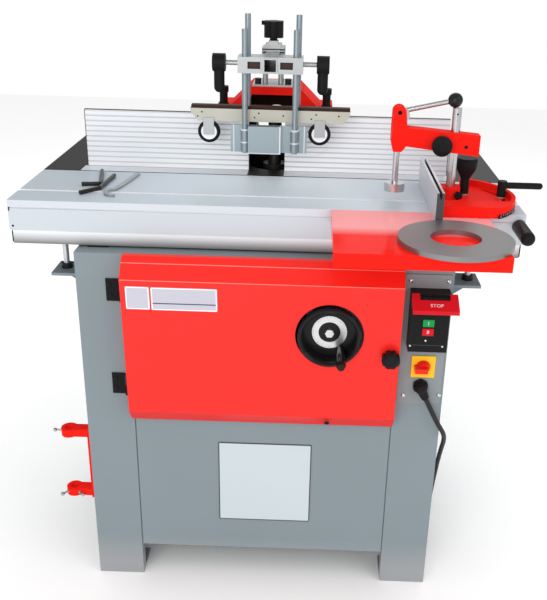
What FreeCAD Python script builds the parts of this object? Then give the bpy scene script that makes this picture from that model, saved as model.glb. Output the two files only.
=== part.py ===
import FreeCAD, Part
import math
import os
import re

import Sketcher
from FreeCAD import Placement, Rotation, Vector

# Spindle moulder with a sliding table, in millimetres: +X right, +Y to the rear, +Z up.
# The origin lies on the floor, in the middle of the four anchor holes of the cabinet.

sizes = {
    # overall
    "table_length": 1000, "table_rise": 92, "overrun": 5, "seat_gap": 0.4, "run_gap": 0.1,
    # cabinet of folded sheet
    "cabinet_width": 740, "cabinet_depth": 560, "cabinet_height": 778, "leg_width": 100, "leg_sheet": 3,
    "lip_depth": 25, "side_leg": 100, "arch_height": 83, "top_flange": 60, "foot_sheet": 5,
    "anchor_radius": 7, "anchor_inset": 40, "panel_sheet": 2, "panel_lap": 23, "panel_chamfer": 3,
    "vent_width": 150, "vent_height": 7, "vent_pitch": 24, "vent_drop": 218,
    # frame between cabinet and table
    "frame_bar": 40, "frame_spread": 310, "frame_setback": 26, "frame_depth": 260, "shim_reach": 40,
    "shim_height": 4,
    # fixed table
    "table_width": 400, "table_plate": 20, "table_skirt": 38, "skirt_wall": 12,
    # sliding table and its rail
    "slider_setback": 30, "slider_width": 236, "slider_gap": 4, "slider_plate": 8, "slider_wall": 6,
    "slider_drop": 60.5, "lip_line": 14, "lip_line_depth": 1.2, "lip_line_height": 2.5,
    "rail_inset": 5, "rail_height": 27, "rail_base": 6, "rail_wall": 5, "rail_setback": 2, "rail_width": 188,
    "ridge_width": 12, "ridge_height": 27, "ridge_front": 54, "ridge_pitch": 80, "runner_wall": 6,
    "runner_lap": 14, "runner_side_gap": 0.5,
    "slot_from_front": 74, "slot_mouth": 10, "slot_width": 18, "slot_depth": 14, "slot_lip": 6,
    "slot_floor": 6,
    # brackets that carry the rail's ends
    "bracket_reach": 65, "bracket_plate": 6, "bracket_width": 70, "bracket_drop": 72, "gusset_drop": 46,
    "stud_radius": 6, "stud_out": 42, "stud_back": 60, "stud_below": 8, "stud_nut_radius": 11,
    "stud_nut_height": 10, "pad_width": 34, "pad_height": 6,
    # red extension plate and loose table ring
    "extension_inset": 374, "extension_width": 298, "extension_depth": 246, "extension_lip": 26,
    "extension_sheet": 3, "ring_from_left": 212, "ring_from_slider": 174, "ring_radius": 100, "ring_bore": 44,
    "ring_height": 9, "table_ring_bore": 58,
    # push handle at the end of the sliding table
    "grip_radius": 13.5, "grip_length": 95, "grip_height": 20, "grip_inset": 14, "grip_neck": 10,
    "grip_neck_length": 8,
    # door
    "door_reach_left": 273, "door_reach_right": 270, "door_rise": 2, "door_height": 363, "door_sheet": 2,
    "door_gap": 2, "door_top_land": 12, "door_first_bend": 26, "door_first_drop": 10, "door_bulge": 48,
    "door_bend_drop": 37, "door_foot_rise": 30, "door_foot_bulge": 32, "door_base_land": 10,
    "hinge_pin_gap": 7, "hinge_pin_out": 7, "hinge_barrel": 4.5, "hinge_pin": 2, "hinge_leaf": 31,
    "hinge_plate": 3, "hinge_height": 47, "hinge_rise": 54, "hinge_pitch": 208, "knob_x": 252,
    "knob_rise": 178, "knob_radius": 18, "knob_depth": 22, "knob_stud": 4, "knob_stud_length": 76,
    "knob_lobe": 3, "knob_clear": 2, "catch_sheet": 3, "catch_size": 30, "catch_hole": 6, "catch_back": 12,
    # handwheel and spindle lift
    "wheel_x": 131, "wheel_drop": 233, "wheel_radius": 62.5, "wheel_hole_gap": 4.5, "wheel_rim": 9,
    "wheel_rim_depth": 15, "wheel_out": 58, "wheel_dish": 33, "wheel_web": 5, "wheel_hub": 20,
    "wheel_hub_depth": 48, "wheel_round": 3, "wheel_grip_out": 42, "wheel_grip_angle": -58,
    "wheel_grip_pin": 4, "wheel_grip_radius": 10, "wheel_grip_neck": 7, "wheel_grip_length": 84,
    "shaft_radius": 8, "shaft_nut": 9, "shaft_nut_height": 7, "sleeve_radius": 14, "sleeve_front": 40,
    "screw_y": 70, "screw_radius": 8, "screw_top_gap": 20, "gear_teeth": 16, "gear_radius": 24,
    "gear_face": 10, "gear_addendum": 2.2, "gear_dedendum": 2.8, "gear_tip": 1.9,
    "gear_root": 4.4, "gear_hub": 9, "gear_hub_radius": 16, "guide_drop": 450, "guide_plate": 15,
    "bearing_plate": 14, "bearing_width": 60, "bearing_gap": 3, "column_radius": 15, "column_spread": 70,
    "column_back": 65, "foot_margin": 26,
    # carriage, motor and belt drive
    "spindle_setback": 65, "quill_radius": 55, "quill_drop": 70, "quill_length": 240, "slide_height": 150,
    "slide_drop": 40, "slide_wing": 26, "slide_depth": 75, "nut_arm": 30, "nut_arm_drop": 2,
    "nut_margin": 24, "motor_offset": 175, "motor_radius": 65, "motor_height": 175, "motor_plate": 15,
    "motor_plate_drop": 190, "motor_plate_half": 40, "motor_foot": 80, "motor_bore": 75,
    "motor_fin": 4, "motor_fins": 20, "motor_fin_width": 4, "motor_box": 34, "motor_box_height": 70,
    "motor_shaft": 12, "belt_drop": 31, "belt_height": 16, "belt_thick": 4, "belt_gap": 0.3,
    "spindle_pulley": 32, "motor_pulley": 56, "pulley_flange": 5, "flange_thick": 4, "belt_side_gap": 0.6,
    "arbor_radius": 15, "arbor_rise": 114, "spindle_journal": 17.5, "spindle_flange": 26,
    "spindle_flange_rise": 4, "spindle_flange_height": 12, "spindle_cap": 10, "spindle_cap_height": 8,
    # switch panel on the right leg
    "plate_left": 275, "plate_width": 90, "plate_drop": 308, "plate_height": 285, "plate_sheet": 3,
    "box_margin": 3, "box_inset": 11, "box_rise": 134, "box_height": 123, "box_depth": 32,
    "window_margin": 16, "button_x": 322, "button_width": 22, "button_height": 15, "button_proud": 2.5,
    "button_pocket": 14, "button_gap": 0.4, "button_length": 9, "start_rise": 63, "stop_rise": 44,
    "flap_x": 329, "flap_width": 88, "flap_over": 2, "flap_drop": 20, "flap_out": 34, "flap_thick": 5,
    "flap_lip": 8,
    "flap_gap": 4, "flap_finger": 58, "flap_hinge": 3, "flap_ear": 8, "switch_x": 324, "switch_rise": 86,
    "switch_plate": 48, "switch_plate_thick": 2.5, "switch_knob": 15, "switch_knob_height": 10,
    "switch_bar": 37, "switch_bar_width": 10, "switch_bar_height": 12, "switch_stem": 4,
    "gland_x": 322, "gland_rise": 42, "gland_radius": 12, "gland_base": 13, "gland_out": 14,
    "gland_tail": 24, "gland_tail_radius": 8,
    # two clamp rings on the left side
    "holder_bottom": 201, "holder_top": 378, "holder_bar": 25, "holder_back": 5, "holder_thick": 6,
    "holder_ring": 17.2, "holder_bore": 10, "holder_height": 17, "holder_out": 46, "holder_inset": 5,
    # mains lead with its put-away coil and plug
    "cord_radius": 5, "coil_radius": 60, "coil_pitch": 10.8, "coil_turns": 2.25, "coil_tail": 58,
    "plug_radius": 15, "plug_neck": 8, "plug_neck_length": 18, "plug_length": 44, "pin_radius": 2.4,
    "pin_pitch": 19, "pin_length": 19,
    # mitre gauge on the sliding table
    "pivot_inset": 140, "pivot_from_front": 67, "gauge_radius": 128, "gauge_reach_left": 30,
    "gauge_front": 29,
    "gauge_back": 181, "gauge_plate": 9.6, "gauge_rim": 8, "gauge_rim_height": 12, "gauge_block": 44,
    "gauge_boss": 20, "gauge_boss_height": 25, "gauge_slot_radius": 107, "gauge_slot": 10.4,
    "gauge_slot_angle": 68, "stop_width": 14, "stop_height_above": 56, "stop_front": 66, "stop_length": 275,
    "stop_slot": 5, "stop_slot_depth": 12, "lever_angle": 9, "lever_post": 9, "lever_washer": 10,
    "lever_washer_height": 3, "lever_height": 34, "lever_reach": 74, "lever_bar": 6.5, "lever_bar_drop": 9,
    "lever_stud": 4.6, "lever_stud_length": 17, "gauge_lever_right": 34, "gauge_lever_back": 33,
    "gauge_lever_height": 64, "gauge_lever_stud": 7,
    # workpiece clamp
    "column_thick": 9, "column_rise": 188, "arm_reach_left": 123, "arm_reach_right": 47, "arm_half": 14,
    "arm_left_rise": 52, "arm_right_rise": 40, "arm_left_lift": 16, "arm_rise": 98,
    "arm_nose_lift": 5, "arm_nose_half": 8, "arm_head_width": 29, "cam_reach": 110, "cam_rise": 28,
    "cam_lug": 12.5, "cam_radius": 16, "cam_offset": 8, "cam_half": 4.5, "cam_gap": 0.5, "cam_pin": 4,
    "cam_lever": 5, "cam_lever_length": 107, "cam_lever_angle": 13, "cam_ball": 14, "cam_rest_angle": 60,
    "rod_radius": 6, "rod_gap": 1, "pad_radius": 20, "pad_thick": 16, "pad_rise": 24,
    "arm_knob_left": 27, "arm_knob_rise": 21, "arm_knob_radius": 19.5, "arm_knob_depth": 18,
    "arm_knob_stud": 4, "arm_knob_stud_length": 20, "arm_knob_clear": 3, "arm_slit": 2,
    # fence with its red hood
    "fence_setback": 45, "fence_plate": 12, "fence_height": 124, "fence_length": 360, "fence_gap_left": 55,
    "fence_gap_right": 25, "fence_ribs": 11, "rib_depth": 1.4, "rib_share": 0.72, "tab_height": 9,
    "tab_width": 52, "tab_depth": 62, "tab_inner": 84, "tab_slot": 9.4, "tab_slot_end": 129,
    "hood_half": 70, "hood_top_half": 54, "hood_shoulder": 100, "hood_flange": 128, "hood_height": 180,
    "hood_flange_top": 135, "hood_flange_thick": 9.6, "hood_wall": 8, "hood_depth": 130, "hood_gap": 0.5,
    "port_radius": 50, "port_wall": 3, "port_length": 55, "port_height": 75, "fence_lever_x": 114,
    "fence_lever_back": 36, "fence_lever_radius": 9, "fence_lever_height": 40, "fence_lever_stud": 4,
    "fence_lever_stud_length": 22, "fence_lever_washer": 11, "fence_lever_cap": 11, "fence_lever_grip": 26,
    # guard over the cutter
    "guard_shift": 4, "carrier_left": 45, "carrier_plate": 4, "carrier_depth": 86, "carrier_post": 6,
    "carrier_spread": 17, "carrier_rise": 36, "sleeve_half": 24, "sleeve_depth": 60, "sleeve_height": 42,
    "carrier_inset": 8, "tube_half": 14, "tube_wall": 2.5, "tube_gap": 0.4, "tube_rise": 19.5,
    "tube_front": 101, "tube_length": 236, "cap_step": 7, "cap_half": 17, "carrier_bolt": 7,
    "carrier_bolt_height": 12, "carrier_bolt_spread": 33, "bar_half": 66, "bar_height": 32, "bar_depth": 52,
    "bar_inset": 4,
    "bar_slot": 26, "bar_slot_height": 14, "bar_slot_depth": 9, "bar_slot_inner": 20, "rod_spread": 52,
    "guard_rod": 6, "guard_rod_gap": 0.3, "shoe_rod_front": 10, "board_rod_back": 11, "board_rod_shift": 4,
    "shoe_rod_rise": 69, "board_rod_rise": 96, "shoe_rise": 60, "shoe_height": 57, "shoe_wing": 80,
    "shoe_sheet": 2.5, "shoe_half": 34, "shoe_box": 16, "shoe_shift": 11, "shoe_clip": 9,
    "shoe_clip_height": 50, "board_rise": 122, "board_height": 26, "board_half": 167, "board_bevel": 15,
    "board_thick": 12, "caster_left": 133, "caster_right": 100, "caster_drop": 23, "caster_radius": 23.5,
    "caster_width": 11, "caster_pin": 4, "fork_half": 11, "fork_sheet": 3, "fork_gap": 0.5,
    "top_knob": 21, "top_knob_neck": 8, "top_knob_rise": 19.5, "top_knob_height": 34, "top_knob_stud": 4,
    "top_knob_lever": 26, "top_knob_lever_radius": 4.5, "side_stud": 5, "side_stud_seat": 3,
    "side_stud_length": 28, "side_hub": 18, "side_hub_length": 26, "side_grip": 11, "side_grip_length": 50,
}

# Places that several pieces share, each worked out from the sizes.
places = {
    "table_height": "cabinet_height + table_rise",
    "door_top": "cabinet_height + door_rise",
    "door_bottom": "door_top - door_height",
    "panel_top": "door_bottom + panel_lap",
    "hinge_low": "door_bottom + hinge_rise",
    "knob_height": "door_bottom + knob_rise",
    "vent_bottom": "cabinet_height - vent_drop",
    "bracket_height": "cabinet_height - bracket_drop",
    "plate_bottom": "cabinet_height - plate_drop",
    "box_bottom": "plate_bottom + box_rise",
    "start_height": "box_bottom + start_rise",
    "stop_height": "box_bottom + stop_rise",
    "flap_top": "box_bottom + box_height + flap_over",
    "switch_z": "plate_bottom + switch_rise",
    "gland_z": "plate_bottom + gland_rise",
    "wheel_height": "table_height - wheel_drop",
    "guide_foot": "table_height - guide_drop",
    "quill_top": "table_height - quill_drop",
    "slide_top": "quill_top - slide_drop",
    "nut_arm_top": "slide_top - nut_arm_drop",
    "motor_plate_low": "quill_top - motor_plate_drop",
    "belt_low": "quill_low - belt_drop",
    "arbor_top": "table_height + arbor_rise",
    "spindle_flange_top": "table_height + spindle_flange_rise",
    "column_top": "table_height + column_rise",
    "arm_right_low": "table_height + arm_rise",
    "arm_nose_low": "arm_right_low + arm_nose_lift",
    "arm_left_low": "arm_right_low + arm_left_lift",
    "arm_right_top": "arm_right_low + arm_right_rise",
    "arm_left_top": "arm_right_low + arm_left_rise",
    "arm_knob_z": "arm_right_low + arm_knob_rise",
    "cam_z": "arm_left_top + cam_rise",
    "pad_bottom": "table_height + pad_rise",
    "tube_z": "sleeve_low + tube_rise",
    "top_knob_low": "sleeve_top + top_knob_rise",
    "shoe_rod_top": "tube_z + shoe_rod_rise",
    "board_rod_top": "tube_z + board_rod_rise",
    "shoe_low": "table_height + shoe_rise",
    "board_low": "table_height + board_rise",
    "caster_z": "board_low - caster_drop",
    "half_width": "cabinet_width / 2",
    "half_table": "table_length / 2",
    "door_left": "-door_reach_left",
    "door_right": "door_reach_right",
    "hinge_pin_x": "door_left - hinge_pin_gap",
    "extension_left": "half_table - extension_inset",
    "ring_x": "extension_left + ring_from_left",
    "pivot_x": "half_table - pivot_inset",
    "gauge_left": "pivot_x - gauge_reach_left",
    "gauge_lever_x": "pivot_x + gauge_lever_right",
    "arm_left": "pivot_x - arm_reach_left",
    "arm_right": "pivot_x + arm_reach_right",
    "cam_x": "pivot_x - cam_reach",
    "arm_knob_x": "pivot_x - arm_knob_left",
    "guard_x": "-guard_shift",
    "cabinet_front": "-cabinet_depth / 2",
    "cabinet_back": "cabinet_depth / 2",
    "leg_inside": "half_width - leg_width",
    "slider_front": "cabinet_front + slider_setback",
    "slider_back": "slider_front + slider_width",
    "table_front": "slider_back + slider_gap",
    "table_back": "table_front + table_width",
    "table_under": "table_height - table_plate",
    "fence_face": "table_front + fence_setback",
    "fence_back": "fence_face + fence_plate",
    "spindle_y": "fence_face + spindle_setback",
    "anchor_x": "half_width - anchor_inset",
    "anchor_y": "cabinet_back - anchor_inset",
    "rail_low": "cabinet_height + shim_height",
    "rail_top": "rail_low + rail_height",
    "rail_front": "slider_front + rail_setback",
    "ridge_top": "rail_low + rail_base + ridge_height",
    "slider_low": "table_height - slider_drop",
    "slot_y": "slider_front + slot_from_front",
    "stud_x": "half_width + stud_out",
    "stud_y": "slider_front + stud_back",
    "door_back": "cabinet_front - door_gap",
    "hinge_y": "cabinet_front - hinge_pin_out",
    "wheel_front": "cabinet_front - wheel_out",
    "gear_y": "screw_y - gear_radius",
    "column_y": "spindle_y + column_back",
    "motor_x": "-motor_offset",
    "quill_low": "quill_top - quill_length",
    "plate_front": "cabinet_front - plate_sheet",
    "box_front": "plate_front - box_depth",
    "pivot_y": "slider_front + pivot_from_front",
    "gauge_low": "table_height + seat_gap",
    "gauge_top": "gauge_low + gauge_plate",
    "fence_low": "table_height + hood_gap",
    "fence_top": "fence_low + fence_height",
    "hood_front": "fence_back + hood_gap",
    "hood_back": "hood_front + hood_depth",
    "hood_top": "fence_low + hood_height",
    "flange_top": "fence_low + hood_flange_top",
    "flange_low": "flange_top - hood_flange_thick",
    "sleeve_low": "hood_top + carrier_plate + carrier_rise",
    "sleeve_top": "sleeve_low + sleeve_height",
    "sleeve_front_y": "hood_front + carrier_inset",
    "tube_front_y": "fence_face - tube_front",
    "bar_front": "tube_front_y + bar_inset",
    "bar_back": "bar_front + bar_depth",
    "shoe_rod_y": "bar_front + shoe_rod_front",
    "board_rod_y": "bar_back - board_rod_back",
    "board_front": "board_rod_y - guard_rod - board_thick",
    "caster_y": "board_front + board_thick / 2",
}

doc = FreeCAD.newDocument("spindle_moulder")
sheet = doc.addObject("Spreadsheet::Sheet", "Sizes")
for row, (alias, number) in enumerate(sizes.items(), start=1):
    sheet.set(f"A{row}", alias)
    sheet.set(f"B{row}", str(number))
    sheet.setAlias(f"B{row}", alias)
doc.recompute()

nodes = []
turns = {"x": Rotation(Vector(0, 1, 0), 90), "y": Rotation(Vector(1, 0, 0), -90), "z": Rotation()}


def bound(text):
    # the expression with every shared place spelled out and every size read from the sheet
    def spell(match):
        word = match.group(0)
        if word in places:
            return f"({bound(places[word])})"
        return f"Sizes.{word}" if word in sizes else word
    return re.sub(r"[A-Za-z_]\w*", spell, str(text))


def value(text):
    return float(sheet.evalExpression(bound(text)))


def point(x, y, z):
    return Vector(value(x), value(y), value(z))


def span(low, high, side=1):
    # a span on the right, or its mirror image on the left
    return (low, high) if side > 0 else (f"-({high})", f"-({low})")


def about(centre, half):
    return (f"{centre} - ({half})", f"{centre} + {half}")


def beside(centre, low, high, side):
    # a span at one side of a centre
    return tuple(f"{centre} + {place}" for place in span(low, high, side))


def moved(item, x, y, z):
    for letter, place in zip("xyz", (x, y, z)):
        item.setExpression(f"Placement.Base.{letter}", bound(place))
    return item


def box(x, y, z):
    block = doc.addObject("Part::Box", "Block")
    for side, (low, high) in zip(("Length", "Width", "Height"), (x, y, z)):
        block.setExpression(side, bound(f"({high}) - ({low})"))
    return moved(block, x[0], y[0], z[0])


def seated(axis, across, low):
    # the two places across an axis and the one along it, in x, y, z order
    base = list(across)
    base.insert("xyz".index(axis), low)
    return base


def rod(radius, axis, across, reach):
    bar = doc.addObject("Part::Cylinder", "Rod")
    bar.Placement = Placement(Vector(), turns[axis])
    bar.setExpression("Radius", bound(radius))
    bar.setExpression("Height", bound(f"({reach[1]}) - ({reach[0]})"))
    return moved(bar, *seated(axis, across, reach[0]))


def cone(radius_low, radius_high, axis, across, reach):
    taper = doc.addObject("Part::Cone", "Taper")
    taper.Placement = Placement(Vector(), turns[axis])
    taper.setExpression("Radius1", bound(radius_low))
    taper.setExpression("Radius2", bound(radius_high))
    taper.setExpression("Height", bound(f"({reach[1]}) - ({reach[0]})"))
    return moved(taper, *seated(axis, across, reach[0]))


def ball(radius, x, y, z):
    sphere = doc.addObject("Part::Sphere", "Ball")
    sphere.setExpression("Radius", bound(radius))
    return moved(sphere, x, y, z)


def drawn(body, plane, outline):
    # a closed outline of straight lines, each corner tied to the sheet
    sketch = body.newObject("Sketcher::SketchObject", "Outline")
    support = [feature for feature in body.Origin.OriginFeatures if feature.Role == plane]
    sketch.AttachmentSupport = [(support[0], "")]
    sketch.MapMode = "FlatFace"
    corners = [Vector(value(across), value(up), 0) for across, up in outline]
    count = len(corners)
    for index, corner in enumerate(corners):
        sketch.addGeometry(Part.LineSegment(corner, corners[(index + 1) % count]))
    ties = [Sketcher.Constraint("Coincident", index, 2, (index + 1) % count, 1) for index in range(count)]
    for index, corner in enumerate(corners):
        ties.append(Sketcher.Constraint("DistanceX", -1, 1, index, 1, corner.x))
        ties.append(Sketcher.Constraint("DistanceY", -1, 1, index, 1, corner.y))
    sketch.addConstraint(ties)
    for index, (across, up) in enumerate(outline):
        sketch.setExpression(f"Constraints[{count + 2 * index}]", bound(across))
        sketch.setExpression(f"Constraints[{count + 2 * index + 1}]", bound(up))
    return sketch


def prism(plane, outline, reach):
    # an outline carried along the plane's normal, from the first place of reach to the second
    low, high = reach
    body = doc.addObject("PartDesign::Body", "Prism")
    sketch = drawn(body, plane, outline)
    start = f"-({high})" if plane == "XZ_Plane" else low
    sketch.setExpression("AttachmentOffset.Base.z", bound(start))
    pad = body.newObject("PartDesign::Pad", "Pad")
    pad.Profile = sketch
    pad.setExpression("Length", bound(f"({high}) - ({low})"))
    return body


def turned(axis, across, outline, low="0"):
    # an outline of radius and height, turned about an axis that stands at the given place
    body = doc.addObject("PartDesign::Body", "Turned")
    sketch = drawn(body, "XZ_Plane", outline)
    revolution = body.newObject("PartDesign::Revolution", "Revolution")
    revolution.Profile = sketch
    revolution.ReferenceAxis = (sketch, ["V_Axis"])
    revolution.Angle = 360
    body.Placement = Placement(Vector(), turns[axis])
    return moved(body, *seated(axis, across, low))


def fused(*items):
    if len(items) == 1:
        return items[0]
    joined = doc.addObject("Part::MultiFuse", "Joined")
    joined.Shapes = list(items)
    return joined


def cut(base, *tools):
    trimmed = doc.addObject("Part::Cut", "Trimmed")
    trimmed.Base = base
    trimmed.Tool = fused(*tools)
    return trimmed


def common(*items):
    shared = doc.addObject("Part::MultiCommon", "Shared")
    shared.Shapes = list(items)
    return shared


def formed(shape):
    feature = doc.addObject("Part::Feature", "Formed")
    feature.Shape = shape
    return feature


def piece(name, item):
    item.Label = name
    nodes.append(item)
    return item


def pieces(name, *items):
    group = doc.addObject("Part::Compound", "Group")
    group.Links = list(items)
    return piece(name, group)


def side_panel(name, side):
    # side wall, front and rear leg, top flange, half of the strip over the door, feet with anchor holes
    depth = ("cabinet_front", "cabinet_back")
    tall = ("0", "cabinet_height")
    leg = span("leg_inside", "half_width", side)
    lip = span("leg_inside", "leg_inside + leg_sheet", side)
    walls = [
        cut(
            box(span("half_width - leg_sheet", "half_width", side), depth, tall),
            box(
                span("half_width - leg_sheet - overrun", "half_width + overrun", side),
                ("cabinet_front + side_leg", "cabinet_back - side_leg"), ("-overrun", "arch_height"),
            ),
        ),
        box(span("half_width - top_flange", "half_width", side), depth,
            ("cabinet_height - leg_sheet", "cabinet_height")),
        box(span("0", "leg_inside + leg_sheet", side), ("cabinet_front", "cabinet_front + top_flange"),
            ("cabinet_height - leg_sheet", "cabinet_height")),
        box(span("0", "leg_inside + leg_sheet", side), ("cabinet_front", "cabinet_front + leg_sheet"),
            ("cabinet_height - lip_depth", "cabinet_height")),
    ]
    for end in (-1, 1):
        front = span("cabinet_back - leg_sheet", "cabinet_back", end)
        walls.append(box(leg, front, tall))
        walls.append(box(leg, span("cabinet_back - top_flange", "cabinet_back", end),
                         ("cabinet_height - leg_sheet", "cabinet_height")))
        walls.append(box(lip, span("cabinet_back - lip_depth", "cabinet_back", end), tall))
        walls.append(box(leg, span("cabinet_back - 2 * anchor_inset", "cabinet_back", end),
                         ("0", "foot_sheet")))
    holes = [
        rod("anchor_radius", "z", (f"{side} * anchor_x", f"{end} * anchor_y"),
            ("-overrun", "foot_sheet + overrun"))
        for end in (-1, 1)
    ]
    if side > 0:
        # window behind the switch plate and a catch for the door knob's stud
        holes.append(box(
            ("plate_left + window_margin", "plate_left + plate_width - window_margin"),
            ("cabinet_front - overrun", "cabinet_front + leg_sheet + overrun"),
            ("box_bottom + window_margin", "box_bottom + box_height - window_margin"),
        ))
        catch_y = ("cabinet_front + catch_back", "cabinet_front + catch_back + catch_sheet")
        walls.append(box(
            ("leg_inside - catch_size", "leg_inside + leg_sheet"), catch_y,
            about("knob_height", "catch_size / 2"),
        ))
        holes.append(rod("catch_hole", "y", ("knob_x", "knob_height"),
                         ("cabinet_front + catch_back - overrun",
                          "cabinet_front + catch_back + 2 * overrun")))
        for hole_z in ("switch_z", "gland_z"):
            holes.append(rod("gland_radius", "y", ("gland_x", hole_z),
                             ("cabinet_front - overrun", "cabinet_front + 2 * overrun")))
    return piece(name, cut(fused(*walls), *holes))


def lower_panel():
    # shallow tray between the front legs, its outer edges chamfered towards the gap lines
    back = "cabinet_front + lip_depth - panel_sheet"
    outline = [
        ("-leg_inside", "cabinet_front + panel_chamfer"), ("panel_chamfer - leg_inside", "cabinet_front"),
        ("leg_inside - panel_chamfer", "cabinet_front"), ("leg_inside", "cabinet_front + panel_chamfer"),
        ("leg_inside", back), ("-leg_inside", back),
    ]
    tray = prism("XY_Plane", outline, ("arch_height", "panel_top"))
    hollow = box(
        ("panel_chamfer + panel_sheet - leg_inside", "leg_inside - panel_chamfer - panel_sheet"),
        ("cabinet_front + panel_sheet", f"{back} + overrun"),
        ("arch_height + panel_sheet", "panel_top - panel_sheet"),
    )
    return piece("front_lower_panel", cut(tray, hollow))


def rear_panel():
    # plain sheet between the rear legs, with a column of vent slots
    sheet_y = ("cabinet_back - panel_sheet", "cabinet_back")
    panel = box(("-leg_inside", "leg_inside"), sheet_y, ("arch_height", "cabinet_height"))
    vents = [
        box(("-vent_width / 2", "vent_width / 2"),
            ("cabinet_back - 2 * panel_sheet", "cabinet_back + panel_sheet"),
            (f"vent_bottom + {index} * vent_pitch", f"vent_bottom + {index} * vent_pitch + vent_height"))
        for index in range(6)
    ]
    return piece("rear_panel", cut(panel, *vents))


def table_frame():
    # two side bars with cross bars under the fixed table, and shims that carry the slide rail
    front = "table_front + frame_setback"
    back = "table_front + frame_depth"
    tall = ("cabinet_height", "table_under")
    bars = []
    for side in (-1, 1):
        bars.append(box(span("frame_spread", "frame_spread + frame_bar", side), (front, back), tall))
        bars.append(box(span("frame_spread", "frame_spread + shim_reach", side), ("rail_front", front),
                        ("cabinet_height", "rail_low")))
    cross = ("-frame_spread", "frame_spread")
    bars.append(box(cross, (f"{back} - frame_bar", back), tall))
    return piece("table_frame", fused(*bars))


def main_table():
    # cast plate with a skirt; a table ring lies flush round the spindle, its edge left as a fine groove
    wide = ("-half_table", "half_table")
    deep = ("table_front", "table_back")
    centre = ("0", "spindle_y")
    seat = ("table_height - ring_height", "table_height + overrun")
    block = box(wide, deep, ("table_height - table_skirt", "table_height"))
    hollow = box(
        ("skirt_wall - half_table", "half_table - skirt_wall"),
        ("table_front + skirt_wall", "table_back - skirt_wall"),
        ("table_height - table_skirt - overrun", "table_under"),
    )
    groove = cut(rod("ring_radius + seat_gap", "z", centre, seat), rod("ring_radius", "z", centre, seat))
    bore = rod("table_ring_bore", "z", centre, ("table_under - overrun", "table_height + overrun"))
    return piece("main_table", cut(block, hollow, groove, bore))


def slide_rail():
    # base strip with a front wall and two ridges that the sliding table runs on
    wide = ("rail_inset - half_table", "half_table - rail_inset")
    back = "rail_front + rail_width"
    strips = [
        box(wide, ("rail_front", back), ("rail_low", "rail_low + rail_base")),
        box(wide, ("rail_front", "rail_front + rail_wall"), ("rail_low", "rail_top")),
    ]
    for index in (0, 1):
        ridge = f"slider_front + ridge_front + {index} * ridge_pitch"
        strips.append(box(wide, (ridge, f"{ridge} + ridge_width"), ("rail_low", "ridge_top")))
    return piece("slide_rail", fused(*strips))


def sliding_table():
    # extruded table: top plate, front and rear walls, two runner channels and a T-slot
    wide = ("-half_table", "half_table")
    under = "table_height - slider_plate"
    runner_low = "ridge_top - runner_lap"
    walls = [
        box(wide, ("slider_front", "slider_back"), (under, "table_height")),
        box(wide, ("slider_front", "slider_front + slider_wall"), ("slider_low", "table_height")),
        box(wide, ("slider_back - slider_wall", "slider_back"), ("slider_low", "table_height")),
        box(wide, about("slot_y", "slot_width / 2 + slot_floor"),
            ("table_height - slot_depth - slot_floor", "table_height")),
    ]
    grooves = [
        box(("-half_table - overrun", "half_table + overrun"), about("slot_y", "slot_mouth / 2"),
            ("table_height - slot_depth", "table_height + overrun")),
        box(("-half_table - overrun", "half_table + overrun"), about("slot_y", "slot_width / 2"),
            ("table_height - slot_depth", "table_height - slot_lip")),
        box(("-half_table - overrun", "half_table + overrun"),
            ("slider_front - overrun", "slider_front + lip_line_depth"),
            ("table_height - lip_line - lip_line_height", "table_height - lip_line")),
        rod("lever_stud + seat_gap", "z", lever_place(), ("table_height - slider_plate - overrun",
                                                         "table_height + overrun")),
    ]
    for index in (0, 1):
        ridge = f"slider_front + ridge_front + {index} * ridge_pitch"
        walls.append(box(wide, (f"{ridge} - runner_wall", f"{ridge} + ridge_width + runner_wall"),
                         (runner_low, "table_height")))
        grooves.append(box(("-half_table - overrun", "half_table + overrun"),
                           (f"{ridge} - runner_side_gap", f"{ridge} + ridge_width + runner_side_gap"),
                           (f"{runner_low} - overrun", "ridge_top + seat_gap")))
    return piece("sliding_table", cut(fused(*walls), *grooves))


def lever_place():
    # the swivel lever stands in the middle of the gauge's curved slot
    return ("pivot_x + gauge_slot_radius * cos(lever_angle)",
            "pivot_y + gauge_slot_radius * sin(lever_angle)")


def rail_brackets():
    # plate with gusset on each cabinet side, and a threaded stud that lifts the rail
    sides = []
    for side in (-1, 1):
        place = (f"{side} * stud_x", "stud_y")
        top = "bracket_height + bracket_plate"
        x_low = "half_width"
        gusset = [
            (f"{side} * half_width", "bracket_height - gusset_drop"),
            (f"{side} * (half_width + bracket_reach)", "bracket_height"),
            (f"{side} * half_width", "bracket_height"),
        ]
        sides.append(fused(
            box(span(x_low, "half_width + bracket_reach", side), about("stud_y", "bracket_width / 2"),
                ("bracket_height", top)),
            prism("XZ_Plane", gusset,
                  ("stud_y + stud_radius * 2", "stud_y + stud_radius * 2 + bracket_plate")),
            rod("stud_radius", "z", place, ("bracket_height - stud_below", "rail_low")),
            rod("stud_nut_radius", "z", place, (top, f"{top} + stud_nut_height")),
            box(span("stud_x - pad_width / 2", "stud_x + pad_width / 2", side),
                about("stud_y", "pad_width / 2"),
                ("rail_low - pad_height", "rail_low")),
        ))
    return pieces("rail_brackets", *sides)


def extension_plate():
    wide = ("extension_left", "extension_left + extension_width")
    deep = ("slider_front - extension_depth", "slider_front")
    tray = box(wide, deep, ("table_height - extension_lip", "table_height"))
    hollow = box(
        ("extension_left + extension_sheet", "extension_left + extension_width - extension_sheet"),
        ("slider_front - extension_depth + extension_sheet", "slider_front - extension_sheet"),
        ("table_height - extension_lip - overrun", "table_height - extension_sheet"),
    )
    return piece("extension_plate", cut(tray, hollow))


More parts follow.
